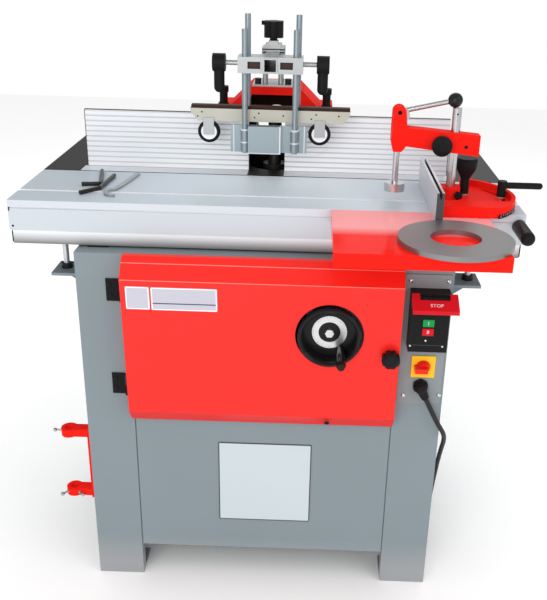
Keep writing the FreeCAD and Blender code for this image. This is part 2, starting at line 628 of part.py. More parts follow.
def insert_ring():
    place = ("ring_x", "slider_front - ring_from_slider")
    reach = ("table_height", "table_height + ring_height")
    bore = rod("ring_bore", "z", place, ("table_height - overrun", "table_height + ring_height + overrun"))
    return piece("insert_ring", cut(rod("ring_radius", "z", place, reach), bore))


def push_handle():
    # round-ended grip towards the user, on a slimmer neck in the sliding table's front wall
    axis = ("half_table - grip_inset", "table_height - grip_height")
    tip = "slider_front - grip_length + grip_radius"
    neck = rod("grip_neck", "y", axis, ("slider_front - grip_neck_length", "slider_front"))
    grip = rod("grip_radius", "y", axis, (tip, "slider_front - grip_neck_length"))
    return piece("push_handle", fused(neck, grip, ball("grip_radius", axis[0], tip, axis[1])))


def red_door():
    # bulged sheet door, open at the back, with a round hole for the handwheel and two hinge barrels
    def profile(inset):
        # inset is zero for the outside and the sheet's thickness for the inside
        return [
            ("door_back + overrun" if inset != "0" else "door_back", f"door_top - {inset}"),
            (f"door_back - door_top_land + {inset} / 2", f"door_top - {inset}"),
            (f"door_back - door_first_bend + {inset}", f"door_top - door_first_drop - {inset}"),
            (f"door_back - door_bulge + {inset}", f"door_top - door_bend_drop - {inset} / 2"),
            (f"door_back - door_foot_bulge + {inset}", f"door_bottom + door_foot_rise + {inset} / 2"),
            (f"door_back - door_base_land + {inset} / 2", f"door_bottom + {inset}"),
            ("door_back + overrun" if inset != "0" else "door_back", f"door_bottom + {inset}"),
        ]
    shell = cut(
        prism("YZ_Plane", profile("0"), ("door_left", "door_right")),
        prism("YZ_Plane", profile("door_sheet"), ("door_left + door_sheet", "door_right - door_sheet")),
        rod("wheel_radius + wheel_hole_gap", "y", ("wheel_x", "wheel_height"),
            ("door_back - 2 * door_bulge", "door_back - door_sheet")),
        rod("knob_stud + seat_gap", "y", ("knob_x", "knob_height"),
            ("door_back - 2 * door_bulge", "door_back - door_sheet")),
    )
    barrels = [shell]
    for index in (0, 1):
        low = f"hinge_low + {index} * hinge_pitch + hinge_height / 2 + seat_gap"
        high = f"hinge_low + {index} * hinge_pitch + hinge_height"
        leaf = box(("hinge_pin_x", "door_left + door_sheet"), about("hinge_y", "hinge_plate / 2"),
                   (low, high))
        barrel = rod("hinge_barrel", "z", ("hinge_pin_x", "hinge_y"), (low, high))
        bore = rod("hinge_pin + run_gap", "z", ("hinge_pin_x", "hinge_y"),
                   (f"{low} - overrun", f"{high} + overrun"))
        barrels.append(cut(fused(leaf, barrel), bore))
    return piece("red_door", fused(*barrels))


def hinge_leaves():
    # fixed leaves on the left leg, each with its lower barrel and the pin
    leaves = []
    for index in (0, 1):
        low = f"hinge_low + {index} * hinge_pitch"
        high = f"hinge_low + {index} * hinge_pitch + hinge_height"
        middle = f"hinge_low + {index} * hinge_pitch + hinge_height / 2"
        place = ("hinge_pin_x", "hinge_y")
        leaves.append(fused(
            box(("hinge_pin_x - hinge_leaf", "hinge_pin_x - hinge_barrel - seat_gap"),
                ("cabinet_front - hinge_plate", "cabinet_front"), (low, high)),
            box(("hinge_pin_x - hinge_leaf", "hinge_pin_x"), ("cabinet_front - hinge_plate", "cabinet_front"),
                (low, middle)),
            rod("hinge_barrel", "z", place, (low, middle)),
            rod("hinge_pin", "z", place, (low, high)),
        ))
    return pieces("hinge_leaves", *leaves)


def door_knob():
    # fluted knob with a stud that reaches through the door into its catch
    place = ("knob_x", "knob_height")
    back = "door_back - door_bulge + 2 * door_sheet"
    front = f"{back} - knob_depth"
    outline = [
        ("0", "0"), ("knob_radius * 2 / 3", "0"), ("knob_radius", "knob_depth / 4"),
        ("knob_radius", "knob_depth - knob_clear"), ("0", "knob_depth - knob_clear"),
    ]
    head = turned("y", place, outline, front)
    flutes = [
        rod("knob_lobe", "y", (f"knob_x + knob_radius * cos({angle})",
                               f"knob_height + knob_radius * sin({angle})"),
            (f"{front} - overrun", back))
        for angle in range(0, 360, 45)
    ]
    stud = rod("knob_stud", "y", place,
               (f"{front} + knob_depth / 2", f"{front} + knob_depth / 2 + knob_stud_length"))
    return piece("door_knob", fused(cut(head, *flutes), stud))


def grip_place():
    return ("wheel_x + wheel_grip_out * cos(wheel_grip_angle)",
            "wheel_height + wheel_grip_out * sin(wheel_grip_angle)")


def handwheel():
    # dished wheel with a rounded rim, a hub and the pin of its revolving grip
    rim_in = "wheel_radius - wheel_rim"
    rim_back = "wheel_rim_depth"
    web_back = "wheel_dish + wheel_web"
    outline = [
        ("shaft_radius + run_gap / 2", "wheel_dish - wheel_round"), ("wheel_hub", "wheel_dish - wheel_round"),
        ("wheel_hub", "wheel_dish"), (f"{rim_in} - wheel_round", "wheel_dish"), (rim_in, "wheel_round"),
        (f"{rim_in} + wheel_round", "0"), ("wheel_radius - wheel_round", "0"),
        ("wheel_radius", "wheel_round"),
        ("wheel_radius", f"{rim_back} - wheel_round"), ("wheel_radius - wheel_round", rim_back),
        (f"{rim_in} + wheel_round", rim_back), (rim_in, web_back), ("wheel_hub", web_back),
        ("wheel_hub", "wheel_hub_depth"), ("shaft_radius + run_gap / 2", "wheel_hub_depth"),
    ]
    wheel = turned("y", ("wheel_x", "wheel_height"), outline, "wheel_front")
    pin = rod("wheel_grip_pin", "y", grip_place(),
              ("wheel_front + wheel_dish - wheel_grip_length", "wheel_front + wheel_dish + wheel_web / 2"))
    return piece("handwheel", fused(wheel, pin))


def handwheel_grip():
    # waisted grip that turns freely on its pin
    full = "wheel_grip_radius"
    bore = "wheel_grip_pin + run_gap"
    outline = [
        (bore, "seat_gap"), ("wheel_grip_neck", "seat_gap"), ("wheel_grip_neck", "wheel_grip_length / 8"),
        (full, "wheel_grip_length / 2"), (full, "wheel_grip_length * 7 / 8"),
        ("wheel_grip_neck", "wheel_grip_length"), (bore, "wheel_grip_length"),
    ]
    grip = turned("y", grip_place(), outline, "wheel_front + wheel_dish")
    grip.Placement = Placement(Vector(), Rotation(Vector(1, 0, 0), 90))
    return piece("handwheel_grip", moved(grip, *seated("y", grip_place(), "wheel_front + wheel_dish")))


def bevel_gear(phase):
    # straight bevel gear with its apex at the origin and its axis down -Z, pitch cone at 45 degrees
    radius = value("gear_radius")
    inner_share = (radius - value("gear_face")) / radius
    slant = math.sqrt(2)
    tip = value("gear_addendum") / slant
    root = value("gear_dedendum") / slant
    deep = root * slant

    def section(share):
        low, high = radius - deep, radius + tip
        half_root, half_tip = value("gear_root") / 2, value("gear_tip") / 2
        corners = [
            Vector(low, -half_root, -radius - deep), Vector(low, half_root, -radius - deep),
            Vector(high, half_tip, -radius + tip), Vector(high, -half_tip, -radius + tip),
        ]
        return Part.makePolygon([corner * share for corner in corners + corners[:1]])

    hub_low = -radius - root - value("gear_hub")
    rim = [
        Vector(0, 0, hub_low), Vector(value("gear_hub_radius"), 0, hub_low),
        Vector(value("gear_hub_radius"), 0, -radius - root), Vector(radius - root, 0, -radius - root),
        Vector(radius - root, 0, -radius - root) * inner_share, Vector(0, 0, (-radius - root) * inner_share),
    ]
    gear = Part.Face(Part.makePolygon(rim + rim[:1])).revolve(Vector(), Vector(0, 0, 1), 360)
    tooth = Part.makeLoft([section(1), section(inner_share)], True, True)
    count = int(value("gear_teeth"))
    teeth = []
    for index in range(count):
        copy = tooth.copy()
        copy.rotate(Vector(), Vector(0, 0, 1), 360 * (index + phase) / count)
        teeth.append(copy)
    return gear.multiFuse(teeth).removeSplitter().Solids[0]


def height_shaft():
    # shaft from the handwheel's nut to the driving bevel gear
    gear = formed(bevel_gear(0))
    gear.Placement = Placement(Vector(), Rotation(Vector(1, 0, 0), -90) * Rotation(Vector(0, 0, 1), 90))
    moved(gear, "wheel_x", "screw_y", "wheel_height")
    place = ("wheel_x", "wheel_height")
    front = "wheel_front + wheel_dish - wheel_round"
    shaft = rod("shaft_radius", "y", place, (front, "gear_y - gear_hub"))
    nut = doc.addObject("Part::Prism", "Nut")
    nut.Polygon = 6
    nut.setExpression("Circumradius", bound("shaft_nut"))
    nut.setExpression("Height", bound("shaft_nut_height"))
    nut.Placement = Placement(Vector(), turns["y"])
    moved(nut, "wheel_x", f"{front} - shaft_nut_height", "wheel_height")
    return piece("height_shaft", fused(shaft, nut, gear))


half_tooth_share = 0.5


def leadscrew():
    # upright screw with the driven bevel gear, its lower end in the guide's foot
    gear = formed(bevel_gear(half_tooth_share))
    gear.Placement = Placement(Vector(), Rotation(Vector(0, 0, 1), -90))
    moved(gear, "wheel_x", "screw_y", "wheel_height")
    screw = rod("screw_radius", "z", ("wheel_x", "screw_y"),
                ("guide_foot + guide_plate / 4", "table_under - screw_top_gap"))
    return piece("leadscrew", fused(screw, gear))


def height_guide():
    # two columns under the table, a foot plate across them, and the bearing of the handwheel's shaft
    columns = [
        rod("column_radius", "z", (f"{side} * column_spread", "column_y"), ("guide_foot", "table_under"))
        for side in (-1, 1)
    ]
    foot = box(("-column_spread - foot_margin", "wheel_x + foot_margin"),
               ("screw_y - foot_margin", "column_y + foot_margin"),
               ("guide_foot", "guide_foot + guide_plate"))
    upright_back = "gear_y - gear_dedendum - gear_hub - bearing_gap"
    upright = box(about("wheel_x", "bearing_width / 2"), (f"{upright_back} - bearing_plate", upright_back),
                  ("guide_foot", "wheel_height + bearing_width / 2"))
    toe = box(about("wheel_x", "bearing_width / 2"), (f"{upright_back} - bearing_plate", "screw_y"),
              ("guide_foot", "guide_foot + guide_plate"))
    place = ("wheel_x", "wheel_height")
    sleeve = rod("sleeve_radius", "y", place, ("cabinet_front + sleeve_front", upright_back))
    holes = [
        rod("shaft_radius + run_gap", "y", place,
            ("cabinet_front + sleeve_front - overrun", f"{upright_back} + overrun")),
        rod("screw_radius + run_gap", "z", ("wheel_x", "screw_y"),
            ("guide_foot + guide_plate / 8", "guide_foot + guide_plate + overrun")),
    ]
    return piece("height_guide", cut(fused(foot, upright, toe, sleeve, *columns), *holes))


def carriage():
    # quill with guide bushes on the columns, an arm for the leadscrew's nut and a plate for the motor
    quill = rod("quill_radius", "z", ("0", "spindle_y"), ("quill_low", "quill_top"))
    bushes = box(about("0", "column_spread + slide_wing"),
                 ("column_y - slide_depth / 2", "column_y + slide_depth / 2"),
                 ("slide_top - slide_height", "slide_top"))
    arm = box(("0", "wheel_x + nut_margin"), ("screw_y - nut_margin", "screw_y + nut_margin"),
              ("nut_arm_top - nut_arm", "nut_arm_top"))
    shelf = box(("motor_x - motor_foot", "0"), about("spindle_y", "motor_plate_half"),
                ("motor_plate_low", "motor_plate_low + motor_plate"))
    bores = [
        rod("spindle_journal + run_gap", "z", ("0", "spindle_y"),
            ("quill_low - overrun", "quill_top + overrun")),
        rod("screw_radius + run_gap", "z", ("wheel_x", "screw_y"), ("nut_arm_top - nut_arm - overrun",
                                                                  "nut_arm_top + overrun")),
        rod("motor_shaft + seat_gap", "z", ("motor_x", "spindle_y"), ("motor_plate_low - overrun",
                                                                    "motor_plate_low + motor_plate + overrun")),
    ]
    for side in (-1, 1):
        bores.append(rod("column_radius + run_gap", "z", (f"{side} * column_spread", "column_y"),
                         ("slide_top - slide_height - overrun", "slide_top + overrun")))
    return piece("carriage", cut(fused(quill, bushes, arm, shelf), *bores))


def motor():
    # finned motor standing on the carriage's plate, with a terminal box
    low = "motor_plate_low + motor_plate"
    place = ("motor_x", "spindle_y")
    frame = rod("motor_radius - motor_fin", "z", place, (low, f"{low} + motor_height"))
    half_fin = "motor_fin_width / 2"
    fins = []
    step = 360 / sizes["motor_fins"]
    for index in range(sizes["motor_fins"]):
        fin = box(("0", "motor_radius"), about("0", half_fin), ("motor_fin", "motor_height * 3 / 4"))
        fin.Placement = Placement(Vector(), Rotation(Vector(0, 0, 1), index * step))
        angle = index * step
        moved(fin, f"motor_x + {half_fin} * sin({angle})", f"spindle_y - {half_fin} * cos({angle})",
              f"{low} + motor_fin")
        fins.append(fin)
    box_x = ("motor_x - motor_radius - motor_box / 2", "motor_x")
    terminal = box(box_x, about("spindle_y", "motor_box"),
                   (f"{low} + motor_fin", f"{low} + motor_box_height"))
    bore = rod("motor_shaft + seat_gap", "z", place, (f"{low} - overrun", f"{low} + motor_bore"))
    return piece("motor", cut(fused(frame, terminal, *fins), bore))


def belt_face(radius_big, radius_small, distance):
    # outline of a belt round a pulley at the origin and a smaller one at the given distance along +X
    lean = math.acos((radius_big - radius_small) / distance)
    reach = Vector(math.cos(lean), math.sin(lean), 0)
    flip = Vector(reach.x, -reach.y, 0)
    far = Vector(distance, 0, 0)
    edges = [
        Part.Arc(reach * radius_big, Vector(-radius_big, 0, 0), flip * radius_big).toShape(),
        Part.LineSegment(flip * radius_big, far + flip * radius_small).toShape(),
        Part.Arc(far + flip * radius_small, far + Vector(radius_small, 0, 0),
                 far + reach * radius_small).toShape(),
        Part.LineSegment(far + reach * radius_small, reach * radius_big).toShape(),
    ]
    return Part.Face(Part.Wire(edges))


def drive_belt():
    gap = value("belt_gap")
    thick = value("belt_thick")
    radii = (value("motor_pulley") + gap, value("spindle_pulley") + gap)
    tall = Vector(0, 0, value("belt_height"))
    outer = belt_face(radii[0] + thick, radii[1] + thick, value("motor_offset")).extrude(tall)
    inner = belt_face(radii[0], radii[1], value("motor_offset")).extrude(tall)
    return piece("drive_belt", moved(formed(outer.cut(inner)), "motor_x", "spindle_y", "belt_low"))


def pulley_outline(radius, shaft, top):
    # flanged pulley below a shaft that reaches up to the given height
    groove_low = "belt_low - belt_side_gap"
    groove_high = "belt_low + belt_height + belt_side_gap"
    rim = f"{radius} + pulley_flange"
    return [
        ("0", f"{groove_low} - flange_thick"), (rim, f"{groove_low} - flange_thick"), (rim, groove_low),
        (radius, groove_low), (radius, groove_high), (rim, groove_high),
        (rim, f"{groove_high} + flange_thick"),
        (shaft, f"{groove_high} + flange_thick"), (shaft, top),
    ]


def spindle():
    # belt pulley, journal, flange and 30 mm arbor in one turned piece
    outline = pulley_outline("spindle_pulley", "spindle_journal",
                             "spindle_flange_top - spindle_flange_height")
    outline += [
        ("spindle_flange", "spindle_flange_top - spindle_flange_height"),
        ("spindle_flange", "spindle_flange_top"),
        ("arbor_radius", "spindle_flange_top"), ("arbor_radius", "arbor_top"), ("spindle_cap", "arbor_top"),
        ("spindle_cap", "arbor_top + spindle_cap_height"), ("0", "arbor_top + spindle_cap_height"),
    ]
    return piece("spindle", turned("z", ("0", "spindle_y"), outline))


def motor_pulley():
    top = "motor_plate_low + motor_plate + motor_bore - overrun"
    outline = pulley_outline("motor_pulley", "motor_shaft", top) + [("0", top)]
    return piece("motor_pulley", turned("z", ("motor_x", "spindle_y"), outline))


def control_plate():
    # plate on the right leg with a raised square under the main switch
    wide = ("plate_left", "plate_left + plate_width")
    plate = box(wide, ("plate_front", "cabinet_front"), ("plate_bottom", "plate_bottom + plate_height"))
    square = box(about("switch_x", "switch_plate / 2"), ("plate_front - switch_plate_thick", "plate_front"),
                 about("switch_z", "switch_plate / 2"))
    stem = rod("switch_stem + run_gap", "y", ("switch_x", "switch_z"),
               ("plate_front - 2 * overrun", "cabinet_front + overrun"))
    return piece("control_plate", cut(fused(plate, square), stem))


def switch_box():
    # box with two button pockets and two ears for the stop flap's hinge
    wide = ("plate_left + box_inset", "plate_left + plate_width - box_margin")
    case = box(wide, ("box_front", "plate_front"), ("box_bottom", "box_bottom + box_height"))
    pockets = [
        box(about("button_x", "button_width / 2 + button_gap"),
            ("box_front - overrun", "box_front + button_pocket"),
            about(height, "button_height / 2 + button_gap"))
        for height in ("start_height", "stop_height")
    ]
    pin = rod("flap_hinge", "x", ("box_front - flap_gap", "flap_top - flap_ear"),
              ("flap_x - flap_width / 2", "flap_x + flap_width / 2"))
    ears = [
        box(about(f"flap_x + {side} * (flap_finger / 2 - flap_ear)", "flap_ear / 2"),
            ("box_front - flap_gap", "box_front"), about("flap_top - flap_ear", "flap_hinge"))
        for side in (-1, 1)
    ]
    return piece("switch_box", fused(cut(case, *pockets), pin, *ears))


def button(name, height):
    return piece(name, box(about("button_x", "button_width / 2"),
                           ("box_front - button_proud", "box_front - button_proud + button_length"),
                           about(height, "button_height / 2")))


def stop_flap():
    # sloping paddle with a lip, two cheeks on the hinge pin and a finger opening between them
    hinge_y = "box_front - flap_gap"
    out = f"{hinge_y} - flap_out"
    wide = about("flap_x", "flap_width / 2")
    paddle = [
        (f"{hinge_y} + flap_hinge", "flap_top"), (out, "flap_top - flap_drop"),
        (out, "flap_top - flap_drop - flap_lip"), (f"{out} + flap_thick", "flap_top - flap_drop - flap_lip"),
        (f"{out} + flap_thick", "flap_top - flap_drop - flap_thick / 2"),
        (f"{hinge_y} + flap_hinge", "flap_top - flap_thick"),
    ]
    cheek = [
        (f"{hinge_y} + flap_hinge", "flap_top"), (out, "flap_top - flap_drop"),
        (f"{out} + flap_thick", "flap_top - flap_drop - flap_lip"),
        (f"{hinge_y} + flap_hinge", "flap_top - 2 * flap_ear"),
    ]
    cheeks = [
        prism("YZ_Plane", cheek,
              about(f"flap_x + {side} * (flap_width - flap_thick) / 2", "flap_thick / 2"))
        for side in (-1, 1)
    ]
    opening = box(about("flap_x", "flap_finger / 2"),
                  (f"{hinge_y} - flap_out / 3", f"{hinge_y} + flap_gap + overrun"),
                  ("flap_top - flap_drop", "flap_top + overrun"))
    bore = rod("flap_hinge + run_gap", "x", (hinge_y, "flap_top - flap_ear"),
               ("flap_x - flap_width / 2 - overrun", "flap_x + flap_width / 2 + overrun"))
    return piece("stop_flap", cut(fused(prism("YZ_Plane", paddle, wide), *cheeks), opening, bore))


def main_switch_knob():
    back = "plate_front - switch_plate_thick - seat_gap"
    face = f"{back} - switch_knob_height"
    place = ("switch_x", "switch_z")
    dial = cone("switch_knob - switch_stem", "switch_knob", "y", place, (face, back))
    bar = box(("switch_x - switch_bar / 2", "switch_x + switch_knob / 2"),
              (f"{face} - switch_bar_height", back),
              about("switch_z", "switch_bar_width / 2"))
    stem = rod("switch_stem", "y", place, (face, "cabinet_front"))
    return piece("main_switch_knob", fused(dial, bar, stem))


# The lead leaves the gland down to the right, in the plane of the switch plate.
gland_lean_share = (0.44, 0, -0.898)


def cable_gland():
    # elbow gland: round base on the plate, ball, and a tapered tail along the lead
    centre_y = "plate_front - gland_out"
    base = rod("gland_radius - run_gap", "y", ("gland_x", "gland_z"),
               ("plate_front - gland_base", "plate_front"))
    bulb = ball("gland_radius", "gland_x", centre_y, "gland_z")
    tail = doc.addObject("Part::Cone", "Tail")
    tail.setExpression("Radius1", bound("gland_radius - 2 * seat_gap"))
    tail.setExpression("Radius2", bound("gland_tail_radius"))
    tail.setExpression("Height", bound("gland_tail"))
    tail.Placement = Placement(Vector(), Rotation(Vector(0, 0, 1), Vector(*gland_lean_share)))
    moved(tail, "gland_x", centre_y, "gland_z")
    return piece("cable_gland", fused(base, bulb, tail))


def ring_bracket():
    # flat bar on the left side with two upright clamp rings
    back = "cabinet_front + holder_back"
    bar = box(("-half_width - holder_thick", "-half_width"), (back, f"{back} + holder_bar"),
              ("holder_bottom", "holder_top"))
    ring_y = f"{back} + holder_bar / 2"
    place = ("-half_width - holder_out", ring_y)
    rings, bores = [], []
    for low in ("holder_bottom + holder_inset", "holder_top - holder_inset - holder_height"):
        high = f"{low} + holder_height"
        rings.append(rod("holder_ring", "z", place, (low, high)))
        rings.append(box(("-half_width - holder_out", "-half_width"), about(ring_y, "holder_bar / 2"),
                         (low, high)))
        bores.append(rod("holder_bore", "z", place, (f"{low} - overrun", f"{high} + overrun")))
    return piece("ring_bracket", cut(fused(bar, *rings), *bores))


# Points of the mains lead from the gland round the right leg to the floor and along it.
lead_points = [
    (349, -297, 457), (365, -296, 427), (380, -285, 400), (387, -260, 369), (389, -228, 328),
    (390, -197, 275),
    (391, -165, 206), (392, -133, 128), (393, -104, 62), (394, -76, 25), (395, -34, 8), (396, 20, 5),
    (395, 90, 5),
    (390, 165, 5), (393, 240, 5), (398, 300, 5), (392, 352, 5), (368, 390, 5),
]


def lead_route():
    tail = Vector(*gland_lean_share).normalize() * value("gland_tail")
    start = point("gland_x", "plate_front - gland_out", "gland_z") + tail
    return [start] + [Vector(*place) for place in lead_points]


def rounded_route(points):
    # straight runs with the largest tangent arcs that they leave room for
    run_share = 0.45
    edges, radii = [], []
    last = points[0]
    for before, corner, after in zip(points, points[1:], points[2:]):
        back, ahead = before - corner, after - corner
        cut_back = run_share * min(back.Length, ahead.Length)
        half_turn = (math.pi - back.getAngle(ahead)) / 2
        radii.append(cut_back / math.tan(half_turn))
        enter = corner + back.normalize() * cut_back
        leave = corner + ahead.normalize() * cut_back
        inward = (back + ahead).normalize()
        middle = corner + inward * (radii[-1] / math.cos(half_turn) - radii[-1])
        edges.append(Part.LineSegment(last, enter).toShape())
        edges.append(Part.Arc(enter, middle, leave).toShape())
        last = leave
    edges.append(Part.LineSegment(last, points[-1]).toShape())
    return Part.Wire(edges), radii


def tube(path, start, ahead, name):
    section = Part.Wire(Part.makeCircle(value("cord_radius"), start, ahead))
    pipe = Part.BRepOffsetAPI.MakePipeShell(path)
    pipe.add(section)
    pipe.build()
    pipe.makeSolid()
    solid = pipe.shape()
    expected = math.pi * value("cord_radius") ** 2 * path.Length
    print(f"{name}: length {path.Length:.0f} mm, volume over section times length {solid.Volume / expected:.4f}")
    return solid


def power_cord():
    points = lead_route()
    path, radii = rounded_route(points)
    print("power_cord radii:", [round(radius) for radius in radii])
    return piece("power_cord", formed(tube(path, points[0], points[1] - points[0], "power_cord")))


def coil_frame():
    # centre of the coil and the angle at which the lead runs into it
    before, last = (Vector(*place) for place in lead_points[-2:])
    ahead = (last - before).normalize()
    angle = math.atan2(-ahead.x, ahead.y)
    outward = Vector(math.cos(angle), math.sin(angle), 0)
    return last - outward * value("coil_radius"), angle


climb_start_share = 0.5


def coil_point(share):
    # inward spiral on the floor, a climb of one layer at the reversal, then outward on top
    turn = share * value("coil_turns")
    half = value("coil_turns") / 2
    centre, angle = coil_frame()
    radius = value("coil_radius") - value("coil_pitch") * (half - abs(turn - half))
    climb = min(max((turn - half) * 2 + climb_start_share, 0), 1)
    height = value("coil_pitch") * climb * climb * (3 - 2 * climb)
    heading = angle + 2 * math.pi * turn
    return centre + Vector(radius * math.cos(heading), radius * math.sin(heading), height)


def coil_heading(share):
    step_share = 1e-4
    low, high = max(share - step_share, 0), min(share + step_share, 1)
    return (coil_point(high) - coil_point(low)).normalize()


def arc_through(start, corner, end):
    # arc from start to end whose tangents meet at the corner
    chord_middle = (start + end) / 2
    lift = corner - chord_middle
    half_chord = (end - start).Length / 2
    sag = half_chord * math.tan(math.atan2(lift.Length, half_chord) / 2)
    return Part.Arc(start, chord_middle + lift.normalize() * sag, end).toShape()


def biarc(start, start_heading, end, end_heading):
    across = end - start
    both = start_heading + end_heading
    square = 2 * (start_heading.dot(end_heading) - 1)
    linear = -2 * across.dot(both)
    reach = (-linear - math.sqrt(linear ** 2 - 4 * square * across.dot(across))) / (2 * square)
    reach = reach if reach > 0 else across.Length / 2
    first, second = start + start_heading * reach, end - end_heading * reach
    middle = (first + second) / 2
    return [arc_through(start, first, middle), arc_through(middle, second, end)]


def coil_end():
    return coil_point(1) + coil_heading(1) * value("coil_tail")


def cord_coil():
    # one unbroken tube of biarcs, a quarter turn each, with a straight tail to the plug
    quarters = round(value("coil_turns") * 4)
    edges = []
    for index in range(quarters):
        low, high = index / quarters, (index + 1) / quarters
        edges += biarc(coil_point(low), coil_heading(low), coil_point(high), coil_heading(high))
    edges.append(Part.LineSegment(coil_point(1), coil_end()).toShape())
    path = Part.Wire(edges)
    count = 720
    samples = [coil_point(index / count) for index in range(count + 1)]
    apart = round(count / value("coil_turns") / 2)
    nearest = min(
        (first - second).Length
        for index, first in enumerate(samples) for second in samples[index + apart:]
    )
    print(f"cord_coil: least gap to itself {nearest - 2 * value('cord_radius'):.2f} mm")
    return piece("cord_coil", formed(tube(path, coil_point(0), coil_heading(0), "cord_coil")))


def mains_plug():
    # neck, round body and two pins along the end of the coil
    length = value("plug_neck_length + plug_length")
    neck = Part.makeCone(value("plug_neck"), value("plug_radius"), value("plug_neck_length"))
    body = Part.makeCylinder(value("plug_radius"), value("plug_length"),
                             Vector(0, 0, value("plug_neck_length")))
    pins = [
        Part.makeCylinder(value("pin_radius"), value("pin_length") + value("overrun"),
                          Vector(0, side * value("pin_pitch") / 2, length - value("overrun")))
        for side in (-1, 1)
    ]
    plug = formed(neck.multiFuse([body] + pins).removeSplitter())
    heading = coil_heading(1)
    across = Vector(0, 0, 1).cross(heading)
    plug.Placement = Placement(coil_end(), Rotation(Vector(), across, heading, "ZYX"))
    return piece("mains_plug", plug)


def mitre_base():
    # quadrant with a raised rim, a front block, a boss for the clamp column and a curved slot
    place = ("pivot_x", "pivot_y")
    low, top = "gauge_low", "gauge_top"
    rim_top = "gauge_top + gauge_rim_height"
    area = (("gauge_left", "pivot_x + gauge_radius + overrun"),
            ("slider_front - gauge_front", "slider_front + gauge_back"))
    plate = common(rod("gauge_radius", "z", place, (low, top)), box(*area, (low, top)))
    rim_ring = cut(rod("gauge_radius", "z", place, (f"{top} - seat_gap", rim_top)),
                   rod("gauge_radius - gauge_rim", "z", place, (f"{top} - overrun", f"{rim_top} + overrun")))
    rim = common(rim_ring, box(*area, (f"{top} - overrun", f"{rim_top} + overrun")))
    block = common(
        rod("gauge_radius", "z", place, (f"{top} - seat_gap", rim_top)),
        box(area[0], ("slider_front - gauge_front", "slider_front - gauge_front + gauge_block"),
            (f"{top} - seat_gap", rim_top)),
    )
    boss = rod("gauge_boss", "z", place, (low, f"{top} + gauge_boss_height"))
    holes = [
        rod("column_thick + run_gap", "z", place,
            (f"{top} - gauge_plate / 2", f"{top} + gauge_boss_height + overrun")),
        formed(curved_slot()),
        rod("lever_stud + seat_gap", "z", ("gauge_lever_x", "pivot_y + gauge_lever_back"),
            (f"{low} - overrun", f"{top} + overrun")),
    ]
    return piece("mitre_base", cut(fused(plate, rim, block, boss), *holes))


def curved_slot():
    # a band of the slot's width round the pivot, with round ends
    centre = point("pivot_x", "pivot_y", "gauge_low - overrun")
    tall = value("gauge_plate + gauge_rim_height + 2 * overrun")
    radius, half = value("gauge_slot_radius"), value("gauge_slot") / 2
    sweep, middle = value("gauge_slot_angle"), value("lever_angle")
    band = Part.makeCylinder(radius + half, tall, Vector(), Vector(0, 0, 1), sweep)
    band = band.cut(Part.makeCylinder(radius - half, tall))
    ends = []
    for angle in (0, math.radians(sweep)):
        ends.append(Part.makeCylinder(half, tall,
                                      Vector(radius * math.cos(angle), radius * math.sin(angle), 0)))
    slot = band.multiFuse(ends)
    slot.rotate(Vector(), Vector(0, 0, 1), middle - sweep / 2)
    slot.translate(centre)
    return slot


def mitre_fence():
    # extruded stop bar beside the base, with a slot in its top
    wide = ("gauge_left - stop_width", "gauge_left")
    deep = ("slider_front - stop_front", "slider_front - stop_front + stop_length")
    top = "gauge_low + stop_height_above"
    slot = box(about("gauge_left - stop_width / 2", "stop_slot / 2"),
               ("slider_front - stop_front - overrun", "slider_front - stop_front + stop_length + overrun"),
               (f"{top} - stop_slot_depth", f"{top} + overrun"))
    return piece("mitre_fence", cut(box(wide, deep, ("gauge_low", top)), slot))


def clamping_lever(name, place, height, axis, stud_length):
    # washer, post and a handle that points along the given axis
    low = "gauge_top + seat_gap"
    handle_z = f"{low} + {height} - lever_bar_drop"
    start = place[0] if axis == "x" else place[1]
    across = (place[1], handle_z) if axis == "x" else (place[0], handle_z)
    end = (f"{start} + lever_reach",) + across if axis == "x" else (place[0], f"{start} + lever_reach",
                                                                    handle_z)
    return piece(name, fused(
        rod("lever_washer", "z", place, (low, f"{low} + lever_washer_height")),
        rod("lever_post", "z", place, (low, f"{low} + {height}")),
        rod("lever_bar", axis, across, (start, f"{start} + lever_reach")),
        ball("lever_bar", *end),
        rod("lever_stud", "z", place, (f"{low} - {stud_length}", low)),
    ))


def clamp_column():
    return piece("clamp_column",
                 rod("column_thick", "z", ("pivot_x", "pivot_y"),
                     ("gauge_top - gauge_plate / 4", "column_top")))


